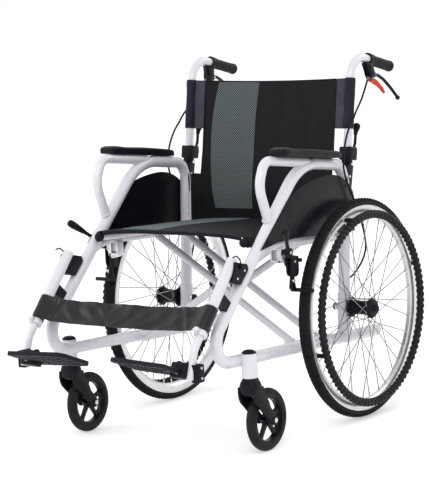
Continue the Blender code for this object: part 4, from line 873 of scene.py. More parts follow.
class WHEELCHAIR_OT_guards(bpy.types.Operator):
    """Makes the flat side guards under the arm rests"""

    bl_idname = "wheelchair.guards"
    bl_label = "Side guards"

    def execute(self, context):
        gap, y = 0.003, -0.262
        join = y + math.sin(DIAGONAL_SLOPE) * gap, diagonal_z(y) - math.cos(DIAGONAL_SLOPE) * gap
        outline = [(-0.3840, 0.4815), join]
        first = math.radians(34)
        top, rear = (-0.075, 0.626), (0.045, 0.548)
        for i in range(1, 25):
            a = first + (math.pi / 2 - first) * i / 24
            lift = (math.sin(a) - math.sin(first)) / (1 - math.sin(first))
            run = 1 - math.cos(a) / math.cos(first)
            outline.append((join[0] + (top[0] - join[0]) * run, join[1] + (top[1] - join[1]) * lift))
        for i in range(1, 25):
            a = math.pi / 2 * i / 24
            outline.append((top[0] + (rear[0] - top[0]) * math.sin(a),
                            rear[1] + (top[1] - rear[1]) * math.cos(a)))
        outline += [(0.040, 0.4700), (-0.1574, 0.4833), (-0.2057, 0.4895), (-0.3062, 0.4908)]
        pair("guard_panel", slab(outline, GUARD_X, GUARD_X + 0.003, 0.0010), "satin", "frame", "side_guard")
        screws = []
        for y, z in ((-0.255, 0.545), (0.005, 0.590)):
            screws.append(turned([(0, 0.0016), (0.0022, 0.0015), (0.0040, 0.0006), (0.0042, 0)],
                                 at(GUARD_X + 0.003, y, z), X_AXIS, 20))
        pair("guard_screws", screws, "plastic", "frame")
        return {"FINISHED"}


class WHEELCHAIR_OT_arm_pads(bpy.types.Operator):
    """Makes the moulded arm pads"""

    bl_idname = "wheelchair.arm_pads"
    bl_label = "Arm pads"

    def execute(self, context):
        section = ((-0.95, 0.0), (-0.3, 0.0), (0.3, 0.0), (0.95, 0.0), (1.0, 0.10), (1.01, 0.55),
                   (0.97, 0.84), (0.84, 0.98), (0.32, 1.02), (-0.32, 1.02), (-0.84, 0.98), (-0.97, 0.84),
                   (-1.01, 0.55), (-1.0, 0.10))
        rings = []
        for t, wide, tall in ((0.0, 0.62, 0.50), (0.012, 0.80, 0.78), (0.04, 0.94, 1.02), (0.10, 1.01, 1.18),
                              (0.18, 0.95, 1.10), (0.26, 0.90, 1.03), (0.38, 0.92, 1.06), (0.50, 0.96, 1.11),
                              (0.72, 0.95, 1.07), (0.90, 0.93, 1.00), (0.96, 0.90, 0.94), (0.988, 0.82, 0.80),
                              (1.0, 0.66, 0.55)):
            y = PAD_FRONT + (PAD_REAR - PAD_FRONT) * t
            low = 0.6955 - 0.133 * (y + 0.270)
            half, high = PAD_HALF * wide, PAD_T * tall
            base = low + 0.3 * PAD_T * (1 - min(tall, 1))
            rings.append([at(PAD_X + half * a, y, base + high * b) for a, b in section])
        for pad in pair("moulded_pad", lofted(rings), "pad", "frame", "arm_pad", rounds=2):
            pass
        return {"FINISHED"}


class WHEELCHAIR_OT_rear_wheels(bpy.types.Operator):
    """Makes the rear tyres, rims, crossed spokes, hubs and axles"""

    bl_idname = "wheelchair.rear_wheels"
    bl_label = "Rear wheels"

    def tyre(self, centre):
        wheel = settings("wheelchair_wheels")
        mid = WHEEL_RADIUS - TYRE_R
        crown = TYRE_R - wheel.tread
        profile = []
        for degrees in (-123, -112, -98, -90, -82, -72, -63):
            r = TYRE_R + (0.0004 if degrees == -90 else 0)
            profile.append((degrees, r if degrees != -63 else crown + 0.0004))
        profile += [(d, crown) for d in (-60, -45, -28, -10)]
        profile += [(-d, r) for d, r in reversed(profile)]
        points = []
        for degrees, r in profile:
            out, side = mid + r * math.cos(math.radians(degrees)), r * math.sin(math.radians(degrees))
            bead = RIM_HALF - 0.0024 if out < RIM_LIP + 0.0004 else TYRE_R
            points.append((out, math.copysign(min(abs(side), bead), side)))
        shape = turned(points, centre, X_AXIS, wheel.blocks, closed=True)
        step = 2 * math.pi / wheel.blocks
        rows = (-52.5, -36.5, -19, 0, 19, 36.5, 52.5)
        raised = []
        for face in shape.faces:
            arm = face.calc_center_median() - centre
            out = math.hypot(arm.y, arm.z)
            turn = math.degrees(math.atan2(arm.x, out - mid))
            near = min(range(7), key=lambda k: abs(rows[k] - turn))
            place = int((math.atan2(arm.z, arm.y) % (2 * math.pi)) / step)
            if out > mid and abs(rows[near] - turn) < 4 and abs(turn) < 60 and (place + near) % 2:
                raised.append(face)
        bmesh.ops.inset_individual(shape, faces=raised, thickness=0.0008, depth=wheel.tread - 0.0001)
        return shape

    def spokes(self, centre):
        bars, nipples = [], []
        each = SPOKES // 2
        for side in (1, -1):
            for i in range(each):
                lead = 1 if i % 2 else -1
                rim_turn = 2 * math.pi * (i + (0.25 if side > 0 else 0.75)) / each
                hub_turn = rim_turn + lead * SPOKE_CROSS
                x = side * FLANGE_X + lead * 0.00105
                start = centre + Vector((x, 0.023 * math.cos(hub_turn), 0.023 * math.sin(hub_turn)))
                end = centre + Vector((side * 0.002, RIM_INNER * math.cos(rim_turn),
                                       RIM_INNER * math.sin(rim_turn)))
                bars.append(rod(start, end, SPOKE_R, 6))
                way = (start - end).normalized()
                nipples.append(rod(end - way * 0.001, end + way * 0.009, 0.0019, 6))
        return joined(*bars), joined(*nipples)

    def execute(self, context):
        centre = at(WHEEL_X, 0, WHEEL_RADIUS)
        pair("knobbed_tyre", self.tyre(centre), "tyre", "wheel", "rear_tyre")
        half = RIM_HALF
        wall = [(RIM_OUTER - 0.004, half - 0.0030), (RIM_LIP - 0.0006, half - 0.0018),
                (RIM_LIP, half - 0.0004), (RIM_LIP - 0.0009, half), (RIM_OUTER - 0.0115, half),
                (RIM_OUTER - 0.0135, half - 0.0010), (RIM_INNER + 0.0018, half * 0.55),
                (RIM_INNER, half * 0.36)]
        pair("alloy_rim", turned(both_ways(wall), centre, X_AXIS, 160, closed=True), "alloy", "wheel",
             "rear_rim", sharp=28.0)
        bars, nipples = self.spokes(centre)
        # The spokes take the darkened steel, a painted dark reflection.
        pair("spokes", bars, "spoke", "wheel")
        pair("spoke_nipples", nipples, "steel", "wheel")
        b, f, t, r = 0.0190, FLANGE_X, 0.0015, FLANGE_R
        profile = [(0.0066, -HUB_HALF), (b - 0.0056, -HUB_HALF), (b - 0.005, -HUB_HALF + 0.0006),
                   (b - 0.005, -f - t), (r - 0.0005, -f - t), (r, -f - t + 0.0005), (r, -f + t - 0.0005),
                   (r - 0.0005, -f + t), (b + 0.001, -f + t + 0.001), (b, -f + t + 0.003), (b - 0.0015, 0),
                   (b, f - t - 0.003), (b + 0.001, f - t - 0.001), (r - 0.0005, f - t), (r, f - t + 0.0005),
                   (r, f + t - 0.0005), (r - 0.0005, f + t), (0.0242, HUB_OUTER - 0.0060),
                   (0.0230, HUB_OUTER - 0.0045), (0.0206, HUB_OUTER - 0.0012), (0.0170, HUB_OUTER),
                   (0.0128, HUB_OUTER), (0.0124, HUB_OUTER - 0.0012), (0.0066, HUB_OUTER - 0.0012)]
        pair("moulded_hub", turned(profile, centre, X_AXIS, 64, closed=True), "plastic", "wheel", "rear_hub")
        inner, outer = FRAME_X - TUBE_R - 0.0022, WHEEL_X + HUB_OUTER
        bolt = [*shifted(((0, -0.010), (0.0062, -0.0099), (0.0068, -0.0094), (0.0070, -0.0060),
                          (0.0095, -0.0056), (0.0095, -0.0005), (0.006, -0.0005)), 0, inner),
                *shifted(((0.006, 0.0005), (0.0098, 0.0005), (0.0098, 0.0018), (0, 0.0018)), 0, outer)]
        cap = shifted(((0, 0.0016), (0.0092, 0.0016), (0.0096, 0.0022), (0.0096, 0.0055), (0.0086, 0.0078),
                       (0.0062, 0.0092), (0.0030, 0.0099), (0, 0.0100)), 0, outer)
        nut = shifted(((0.0064, -0.0055), (0.0088, -0.0062), (0.0096, -0.0105), (0.0080, -0.0125),
                       (0, -0.0130)), 0, inner)
        for name, profile, look, node in (("axle_bolt", bolt, "steel", "rear_axle"),
                                          ("axle_cap", cap, "plastic", None),
                                          ("axle_nut_cap", nut, "plastic", None)):
            pair(name, turned(profile, at(0, 0, WHEEL_RADIUS), X_AXIS, 40), look, "frame", node)
        return {"FINISHED"}


class WHEELCHAIR_OT_hand_rims(bpy.types.Operator):
    """Makes the waved hand rims with their standoffs"""

    bl_idname = "wheelchair.hand_rims"
    bl_label = "Hand rims"

    def execute(self, context):
        wheel = settings("wheelchair_wheels")
        centre = at(WHEEL_X + HAND_RIM_X, 0, WHEEL_RADIUS)
        r = HAND_RIM_TUBE - wheel.wave
        turns = [2 * math.pi * k / 20 for k in range(20)]
        section = [(HAND_RIM_R + r * math.cos(a), r * math.sin(a)) for a in turns]
        ring = turned(section, centre, X_AXIS, wheel.waves * 6, closed=True)
        # the grip swells in a helix, so that it bulges outside and inside by turns
        for vert in ring.verts:
            arm = vert.co - centre
            turn = math.atan2(arm.z, arm.y)
            core = Vector((0, math.cos(turn), math.sin(turn))) * HAND_RIM_R
            out = (arm - core).normalized()
            way = math.atan2(arm.x, (arm - core).dot(core.normalized()))
            vert.co += out * wheel.wave * (0.5 + 0.5 * math.cos(turn * wheel.waves + way))
        bmesh.ops.recalc_face_normals(ring, faces=ring.faces)
        stands, screws = [], []
        for i in range(4):
            a = math.pi / 2 * i + STANDOFF_TURN
            way = Vector((0, math.cos(a), math.sin(a)))
            high = centre + way * (RIM_OUTER - 0.0089)
            low = high - Vector((HAND_RIM_X - RIM_HALF - 0.0005, 0, 0))
            stands.append(rod(low, high, 0.0056, 20, 0.0006))
            screws.append(rod(low, low + X_AXIS * 0.0022, 0.0075, 20, 0.0006))
        pair("waved_hand_rim", ring, "grip", "wheel", "hand_rim", sharp=60.0)
        pair("hand_rim_standoffs", stands, "plastic", "wheel")
        pair("standoff_washers", screws, "steel", "wheel")
        return {"FINISHED"}


class WHEELCHAIR_OT_casters(bpy.types.Operator):
    """Makes the caster forks, wheels and tyres"""

    bl_idname = "wheelchair.casters"
    bl_label = "Casters"

    def execute(self, context):
        x, y = CASTER_X, STEM_Y
        axle_y, axle_z = STEM_Y + TRAIL, CASTER_R
        levels = ((0.1480, FORK_OUT - 0.006, 0.0150, 0.0190), (0.1530, FORK_OUT - 0.0012, 0.0200, 0.0222),
                  (0.1580, FORK_OUT, 0.0215, 0.0225), (0.1700, FORK_OUT, 0.0215, 0.0205),
                  (0.1770, FORK_OUT - 0.002, 0.0208, 0.0195), (0.1820, FORK_OUT - 0.005, 0.0195, 0.0185),
                  (0.1860, 0.0182, 0.0175, 0.0172), (HOUSING_BOTTOM - 0.0005, 0.0165, 0.0160, 0.0160))
        rings = []
        for z, wide, front, rear in levels:
            ring = []
            for k in range(40):
                a = 2 * math.pi * (k + 0.5) / 40
                c, s = math.cos(a), math.sin(a)
                square = (abs(c) ** 3 + abs(s) ** 3) ** (-1 / 3)
                ring.append(at(x + wide * c * square, y + (rear if s > 0 else front) * s * square, z))
            rings.append(ring)
        crown = lofted(rings)
        boss = [(axle_y + 0.0125 * math.cos(math.radians(d)), axle_z + 0.0125 * math.sin(math.radians(d)))
                for d in range(205, 392, 11)]
        outline = [*shifted(((-0.0195, 0.168), (-0.0205, 0.152), (-0.0185, 0.140), (-0.0130, 0.129)), y),
                   *boss,
                   *shifted(((0.0440, 0.1120), (0.0400, 0.1240), (0.0300, 0.140), (0.0225, 0.152),
                             (0.0190, 0.168)), y)]
        legs = []
        for side in (1, -1):
            legs.append(slab(outline, *beside(x, side, 0.0185, FORK_OUT - 0.0005), 0.0014))
            legs.append(pin(*beside(x, side, 0.0178, FORK_OUT + 0.0010), axle_y, axle_z, 0.0100, 32, 0.0008))
        stem = rod(at(x, y, HOUSING_BOTTOM - 0.010), at(x, y, HOUSING_TOP + 0.001), 0.006, 20)
        r = HOUSING_R
        dome = ((0, 0.0007), (r - 0.0022, 0.0007), (r - 0.0018, 0.0012), (r - 0.0024, 0.0034),
                (0.0135, 0.0062), (0.0090, 0.0080), (0.0045, 0.0088), (0, 0.0090))
        cap = turned(shifted(dome, 0, HOUSING_TOP), at(x, y, 0), (0, 0, 1), 48)
        pair("moulded_fork", [crown, stem, cap, *legs], "plastic", "fork", "caster_fork")
        bolt = FORK_OUT + 0.0045
        ends = [pin(x - bolt, x + bolt, axle_y, axle_z, 0.0040, 20, 0.0005)]
        for side in (1, -1):
            low, high = beside(x, side, FORK_OUT + 0.0010, FORK_OUT + 0.0040)
            ends.append(pin(low, high, axle_y, axle_z, 0.0066, 6, 0.0006))
        pair("caster_bolt", ends, "steel", "fork")

        centre = at(x, axle_y, axle_z)
        half, outer = 0.0095, CASTER_R - 2 * CASTER_TYRE_R + 0.0100
        wall = [(outer - 0.0075, -half * 0.55), (outer - 0.0070, -half * 0.75), (outer - 0.0005, -half),
                (outer, -half + 0.0005)]
        rim = turned(both_ways(wall), centre, X_AXIS, 80, closed=True)
        wall = [(0.0048, -0.0172), (0.0080, -0.0172), (0.0086, -0.0166), (0.0130, -half),
                (0.0136, -half + 0.001)]
        hub = turned(both_ways(wall), centre, X_AXIS, 40, closed=True)
        arms = []
        section = ((-1, -0.4), (-0.7, -0.7), (0.7, -0.7), (1, -0.4), (1, 0.4), (0.7, 0.7), (-0.7, 0.7),
                   (-1, 0.4))
        for i in range(5):
            a = 2 * math.pi * (i + 0.25) / 5
            way, across = Vector((0, math.cos(a), math.sin(a))), Vector((0, -math.sin(a), math.cos(a)))
            rings = []
            for r, wide, deep in ((0.0105, 0.0078, 0.0080), (0.020, 0.0058, 0.0072), (0.036, 0.0056, 0.0064),
                                  (outer - 0.004, 0.0074, 0.0060)):
                rings.append([centre + way * r + across * wide * p + X_AXIS * deep * q for p, q in section])
            arms.append(lofted(rings))
        pair("caster_disc", [rim, hub, *arms], "satin", "caster", "caster_wheel")
        mid = CASTER_R - CASTER_TYRE_R
        profile = []
        for a in [math.radians(d) for d in (-125, -110, -95, -80, -64, -48, -32, -16, 0)]:
            profile.append((mid + CASTER_TYRE_R * math.cos(a), CASTER_TYRE_R * 0.93 * math.sin(a)))
        profile += [(r, -w) for r, w in reversed(profile[:-1])]
        tread = turned(profile, centre, X_AXIS, 96, closed=True)
        pair("caster_tread", tread, "caster_rubber", "caster", "caster_tyre")
        return {"FINISHED"}


class WHEELCHAIR_OT_leg_rests(bpy.types.Operator):
    """Makes the leg-rest hangers, their latches and levers, the extensions and foot blocks"""

    bl_idname = "wheelchair.leg_rests"
    bl_label = "Leg rests"

    def execute(self, context):
        top, end, along = HANGER_HEAD, HANGER_FOOT, HANGER_DIR
        normal = X_AXIS.cross(along)
        bar = tube([top, top + along * 0.001, top + along * 0.003, end],
                   [HANGER_R - 0.003, HANGER_R - 0.0008, HANGER_R, HANGER_R], 32)
        bore, r = EXTENSION_R + 0.0004, HANGER_R + 0.0020
        ring = turned([(bore, -0.003), (r, -0.003), (r + 0.0006, -0.0022), (r + 0.0006, 0.0072), (r, 0.008),
                       (bore, 0.008)], end, along, 48, closed=True)
        lug = block((0.010, 0.011, 0.014), end + along * 0.0025 - normal * (HANGER_R + 0.006),
                    (X_AXIS, along, normal), 0.0012)
        pair("hanger_tube", [bar, ring, lug], "enamel", "legrest", "legrest_hanger")
        spot = end + along * 0.0025 - normal * (HANGER_R + 0.0085)
        bolt = [rod(spot - X_AXIS * 0.0085, spot + X_AXIS * 0.0085, 0.0030, 16, 0.0005),
                rod(spot + X_AXIS * 0.0050, spot + X_AXIS * 0.0082, 0.0050, 6, 0.0005)]
        pair("clamp_bolt", bolt, "steel", "legrest")
        tube_point = at(FRAME_X, -0.507, diagonal_z(-0.507))
        foot = top + along * (tube_point - top).dot(along)
        gap, way = (tube_point - foot).length, (tube_point - foot).normalized()
        reach = TUBE_R + 0.0006
        outline = [(-0.009, 0.004), (0.009, 0.004)]
        for k in range(9):
            a = math.asin(0.009 / reach) * (1 - k / 4)
            outline.append((reach * math.sin(a), gap - reach * math.cos(a)))
        saddle = prism([foot - DIAGONAL_DIR * 0.014 + X_AXIS * a + way * b for a, b in outline],
                       DIAGONAL_DIR * 0.028)
        latch = slab(((-0.4914, 0.4707), (-0.4410, 0.4581), (-0.4370, 0.4448), (-0.4718, 0.4127),
                      (-0.5082, 0.4246)), FRAME_X - 0.0120, FRAME_X + 0.0175, 0.0030, 4)
        pair("latch_block", latch, "plastic", "legrest", "legrest_latch")
        pair("hanger_saddle", saddle, "plastic", "legrest")
        rivets = [pin(FRAME_X + 0.0165, FRAME_X + 0.0187, a, b, 0.0030, 20, 0.0006)
                  for a, b in ((-0.4560, 0.4450), (-0.4860, 0.4300))]
        pair("latch_rivets", rivets, "steel", "legrest")
        x, y, z = 0.2700, -0.4710, 0.4568
        wire = tube(rounded_path([at(x, y, z), at(x, -0.4770, 0.4760), at(x, -0.4900, 0.4850),
                                  at(x, -0.5045, 0.4830)], (0.008, 0.008), 0.3), 0.0018, 12, 0.0005)
        hub = pin(x - 0.0018, x + 0.0030, y, z, 0.0058, 28, 0.0006)
        pair("release_wire", [wire, hub], "plastic", "legrest_release", "legrest_lever")

        knee = at(FRAME_X, -0.650, 0.290)
        bar = tube(rounded_path([end - along * 0.090, knee, at(FRAME_X, -0.6745, 0.2232)], (0.045,)),
                   EXTENSION_R, 24, 0.0008)
        pair("extension_tube", bar, "enamel", "foot_extension", "footrest_extension")
        up = FLIP_DIR.cross(-X_AXIS)
        hinge = at(FLIP_X, FOOT_Y, FOOT_Z)
        stub_y = FOOT_Y + 0.0145
        parts = [block((0.042, 0.036, 0.0370), hinge - X_AXIS * 0.0015 + up * 0.0048,
                       (X_AXIS, FLIP_DIR, up), 0.0045, 4),
                 block((0.022, 0.024, 0.042), at(FRAME_X + 0.013, stub_y, FOOT_Z - 0.001), None, 0.0020)]
        for shift in (-0.0125, 0.0145):
            low = hinge + X_AXIS * shift + up * (0.0445 / 2 - 0.002)
            parts.append(turned([(0, 0), (0.0075, 0), (0.0075, 0.002), (0.0066, 0.0048), (0.0045, 0.0070),
                                 (0, 0.0080)], low, up, 32))
        pair("foot_block", parts, "plastic", "foot_extension")
        bolts = [rod(hinge - FLIP_DIR * 0.032, hinge + FLIP_DIR * 0.032, 0.0035, 20, 0.0006),
                 rod(hinge - FLIP_DIR * 0.0205, hinge - FLIP_DIR * 0.0180, 0.0062, 6, 0.0005)]
        for lift in (-0.012, 0.012):
            spot = at(FRAME_X + 0.0235, stub_y, FOOT_Z + lift)
            bolts.append(rod(spot, spot + X_AXIS * 0.0020, 0.0032, 20, 0.0005))
        pair("foot_bolts", bolts, "steel", "foot_extension")
        return {"FINISHED"}


class WHEELCHAIR_OT_footplates(bpy.types.Operator):
    """Makes the ribbed footplates, notched round their hinge blocks"""

    bl_idname = "wheelchair.footplates"
    bl_label = "Footplates"

    def arc(self, cx, cy, size, start):
        """A quarter turn about a corner's centre, from an angle in degrees."""
        turns = [math.radians(start + 9 * k) for k in range(11)]
        return [(cx + size * math.cos(a), cy + size * math.sin(a)) for a in turns]

    def execute(self, context):
        level = FLIP_DIR.cross(-X_AXIS)
        across = X_AXIS * math.cos(FOOT_ROLL) - level * math.sin(FOOT_ROLL)
        up = FLIP_DIR.cross(-across)
        inner, outer, front, rear, r = 0.070 - FLIP_X, 0.236 - FLIP_X, -0.0850, 0.040, 0.022
        soft = 0.006
        outline = [*self.arc(inner + r, front + r, r, 180), *self.arc(outer - soft, front + soft, soft, 270),
                   (outer, -0.0200), (-0.0365, -0.0200), (-0.0365, 0.0200), (outer, 0.0200),
                   *self.arc(outer - soft, rear - soft, soft, 0), *self.arc(inner + r, rear - r, r, 90)]
        parts = [prism([Vector((a, b, -0.0046)) for a, b in outline], Vector((0, 0, 0.0106)), 0.0016)]
        middle = (inner - 0.038) / 2
        ribs = []
        for k in range(1, 6):
            b = front + (rear - front) * k / 6
            wide = (outer - inner - 0.008) if abs(b) > 0.024 else (-0.038 - inner - 0.004)
            ribs.append(((wide, 0.0030, 0.0040), (inner + 0.004 + wide / 2, b, -0.0040), 0.0008, 2))
        for a in (inner + 0.030, middle, -0.050):
            ribs.append(((0.0030, rear - front - 0.010, 0.0038), (a, (front + rear) / 2, -0.0039), 0.0008, 2))
        for k in range(17):
            b = front + 0.0125 + (rear - front - 0.025) * k / 16
            wide = (outer - inner - 0.030) if abs(b) > 0.026 else (-0.046 - inner - 0.014)
            ribs.append(((wide, 0.0022, 0.0012), (inner + 0.015 + wide / 2, b, 0.0062), 0.0004, 1))
        parts += [block(size, centre, None, soft, segments) for size, centre, soft, segments in ribs]
        shape = joined(*parts)
        place = Matrix((across, FLIP_DIR, up)).transposed().to_4x4()
        place.translation = at(FLIP_X, FOOT_Y, FOOT_Z)
        bmesh.ops.transform(shape, matrix=place, verts=shape.verts)
        pair("ribbed_plate", shape, "plate", "foot", "footplate")
        return {"FINISHED"}


class WHEELCHAIR_OT_calf_straps(bpy.types.Operator):
    """Makes the two halves of the calf band, each with the sleeve on its hanger"""

    bl_idname = "wheelchair.calf_straps"
    bl_label = "Calf straps"

    def line(self):
        """The stretch of the hanger behind the band: its upper end, direction and length."""
        along = HANGER_DIR
        high = HANGER_HEAD + along * ((STRAP_TOP - HANGER_HEAD.z) / along.z)
        return high, along, (STRAP_BOTTOM - STRAP_TOP) / along.z

    def half(self, inner_x):
        """One half: it wraps the outer side of its hanger and runs to the seam with soft folds."""
        high, along, length = self.line()
        normal = X_AXIS.cross(along)
        if normal.y > 0:
            normal = -normal
        radius = HANGER_R + 0.0023
        start = LEAVE_X
        wrapped = 0.22

        def place(t, s):
            fold = wave = 0.0
            if t < wrapped:
                a = math.pi * 0.62 * (1 - t / wrapped) - 0.10
                loose = radius + 0.0007 * math.sin(9 * a + 5 * s) * (0.3 + 0.7 * s)
                x, depth = FRAME_X + math.sin(a) * loose, math.cos(a) * loose
            else:
                x = start + (inner_x - start) * ((t - wrapped) / (1 - wrapped)) ** 0.96
                flat = min(1, (start - x) / 0.030)
                depth = (1 - flat) * radius + flat * 0.0015
            run = max(0, (start - x) / (start - inner_x))
            if x < start:
                near = math.exp(-((run - 0.13 - 0.10 * (1 - s)) / 0.035) ** 2)
                far = math.exp(-((run - 0.25 + 0.10 * s) / 0.05) ** 2)
                crease = 0.0030 * noise.noise(Vector((x * 34 + s * 2, s * 2.6, 1.7)))
                fold = 0.0036 * near - 0.0026 * far + crease
                wave = 0.0016 * math.sin(3 * math.pi * run) * 2 * abs(s - 0.5)
            reach = (x + FRAME_X) / (2 * FRAME_X)
            hang = STRAP_HANG * math.sin(math.pi * min(max(reach, 0), 1))
            edge = 0.0009 * math.exp(-(min(s, 1 - s) / 0.07) ** 2)
            base = high + along * (length * s + hang * 0.5) + normal * (depth + fold + edge + wave - hang)
            return Vector((x, base.y, base.z))

        return draped(96, 14, place, normal, STRAP_WALL)

    def sleeve(self):
        """The closed sleeve round the hanger behind the band."""
        high, along, length = self.line()
        r = HANGER_R + 0.0005
        profile = [*shifted(((0, 0.0004), (0.0016, 0), (0.0024, 0.0008), (0.0020, 0.006), (0.0026, 0.014),
                             (0.0019, length * 0.5)), r),
                   *shifted(((0.0026, -0.014), (0.0019, -0.006), (0.0024, -0.0008), (0.0016, 0),
                             (0, -0.0004)), r, length)]
        return turned(profile, high, along, 48, closed=True)

    def execute(self, context):
        for side, inner, way in (("left", STRAP_SEAM + 0.0005, 1), ("right", -STRAP_SEAM + 0.0005, -1)):
            band = self.half(inner)
            sleeve = self.sleeve()
            if way < 0:
                band, sleeve = mirrored(band), mirrored(sleeve)
            cloth = placed(f"calf_band_{side}", band, "strap", f"legrest_{side}", (f"calf_strap_{side}",),
                           sharp=60.0)
            loop = placed(f"calf_sleeve_{side}", sleeve, "strap", f"legrest_{side}", sharp=60.0)
            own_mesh(cloth)
        return {"FINISHED"}


class WHEELCHAIR_OT_wheel_locks(bpy.types.Operator):
    """Makes the wheel locks: clamp, plate, housing, lever and shoe"""

    bl_idname = "wheelchair.wheel_locks"
    bl_label = "Wheel locks"

    def execute(self, context):
        x, y, z = LOCK
        py, pz = SHOE_PIVOT
        inner, outer = 0.2705, 0.2905
        arm_low, arm_high = 0.2768, 0.2852
        outline = [*shifted(((-0.0115, -0.009), (-0.0080, 0.010), (0.0080, 0.010)), y, z),
                   *shifted(((0.017, 0.0125), (0.035, 0.0095), (0.035, -0.0090), (0.017, -0.012),
                             (-0.011, -0.012)), py, pz)]
        plate = slab(outline, inner - 0.0045, inner - 0.0008, 0.0008)
        jaws = [block((0.0100, 0.026, 0.036), at(inner - 0.0085, y + 0.0042, z - 0.0080), None, 0.0012),
                block((0.0045, 0.026, 0.036), at(FRAME_X - 0.0118, y + 0.0042, z - 0.0080), None, 0.0010),
                block((0.0285, 0.026, 0.0060), at(inner - 0.0175, y + 0.0042, z - 0.0230), None, 0.0012)]
        pair("lock_plate", [plate, *jaws], "alloy", "frame", "lock_bracket")
        bolts = []
        for a, b in ((y + 0.0042, z - 0.022), (py + 0.0270, pz + 0.0005)):
            bolts.append(pin(inner - 0.012, inner + 0.0020, a, b, 0.0046, 6, 0.0005))
        for a, b in ((py + 0.0105, pz + 0.002), (py + 0.0180, pz - 0.0035)):
            bolts.append(pin(inner - 0.0050, inner - 0.0002, a, b, 0.0024, 20, 0.0003))
        pair("lock_bolts", bolts, "dark_steel", "frame")
        front, rear = py - 0.0121, py + 0.0169
        top, low = pz + 0.0119, pz - 0.0376
        mid = (inner + outer) / 2
        outline = ((front, top), (rear, top), (rear, low + 0.012), (rear - 0.004, low + 0.003),
                   (rear - 0.012, low), (front + 0.012, low), (front + 0.004, low + 0.003),
                   (front, low + 0.012))
        parts = [slab(outline, inner, arm_low - 0.0009, 0.0012),
                 slab(outline, arm_high + 0.0009, outer, 0.0014),
                 block((outer - inner - 0.002, rear - front - 0.001, 0.0046),
                       at(mid, (front + rear) / 2, top - 0.0025), None, 0.0010),
                 block((outer - inner - 0.002, 0.0040, top - low - 0.016),
                       at(mid, rear - 0.0021, (top + low) / 2 + 0.006), None, 0.0008),
                 pin(inner, outer + 0.002, py + 0.0250, pz, 0.0048, 24, 0.0006),
                 pin(inner - 0.004, x - 0.0085, y, z, 0.0070, 28, 0.0005)]
        pair("lock_housing", parts, "plastic", "frame")
        pair("lock_pin", pin(inner - 0.001, outer + 0.002, py, pz, 0.0030, 20, 0.0005), "steel", "frame")
        pivot = at(x, y, z)
        way = at(*LOCK_GRIP_END) - pivot
        hub = rod(pivot - X_AXIS * 0.0080, pivot + X_AXIS * 0.0065, 0.0110, 36, 0.0010)
        marks = (0.0, 0.30, 0.50, 0.545, 0.58, 0.66, 0.76, 0.86, 0.93, 0.97, 0.99, 1.0)
        radii = (0.0050, 0.0046, 0.0046, 0.0050, 0.0062, 0.0072, 0.0086, 0.0097, 0.0095, 0.0080, 0.0058,
                 0.0030)
        grip = tube([pivot + way * t for t in marks], list(radii), 28)
        pair("lock_handle", [hub, grip], "plastic", "lock_lever", "lock_lever")
        cap = rod(pivot + X_AXIS * 0.0062, pivot + X_AXIS * 0.0080, 0.0046, 6, 0.0005)
        pair("lock_handle_bolt", cap, "steel", "lock_lever")
        reach = WHEEL_RADIUS + SHOE_BAR_R + SHOE_GAP
        sy = -math.sqrt(reach ** 2 - (SHOE_Z - WHEEL_RADIUS) ** 2)
        outline = [*shifted(((-0.0060, 0.0020), (-0.0035, 0.0050), (0, 0.0060), (0.0035, 0.0050),
                             (0.0060, 0.0020), (0.0058, -0.0200), (0.0030, -0.0470)), py, pz),
                   *shifted(((0.0045, 0.0040), (0.0045, -0.0025), (0.0020, -0.0045), (-0.0040, -0.0045),
                             (-0.0085, -0.0030)), sy, SHOE_Z),
                   *shifted(((-0.0125, -0.0640), (-0.0075, -0.0420)), py, pz)]
        arm = slab(outline, arm_low, arm_high, 0.0008)
        bar = pin(arm_low + 0.001, 0.337, sy, SHOE_Z, SHOE_BAR_R, 28, 0.0010)
        pair("shoe_arm", [arm, bar], "plastic", "lock_shoe", "lock_shoe")
        spot = at(arm_high - 0.001, py - 0.0045, pz - 0.0472)
        pair("shoe_bolt", rod(spot, spot + X_AXIS * 0.0055, 0.0042, 6, 0.0005), "steel", "lock_shoe")
        return {"FINISHED"}


def cane_points(low_z, end_y):
    """The cane's centre line from a height to a place along the grip."""
    top_z = (GRIP_Z - GRIP_FALL * (CANE_Y - CANE_LEAN * CANE_Z - GRIP_Y)) / (1 + GRIP_FALL * CANE_LEAN)
    return rounded_path([at(FRAME_X, cane_y(low_z), low_z), at(FRAME_X, cane_y(top_z), top_z),
                         at(FRAME_X, end_y, grip_z(end_y))], (0.056,), 0.06)


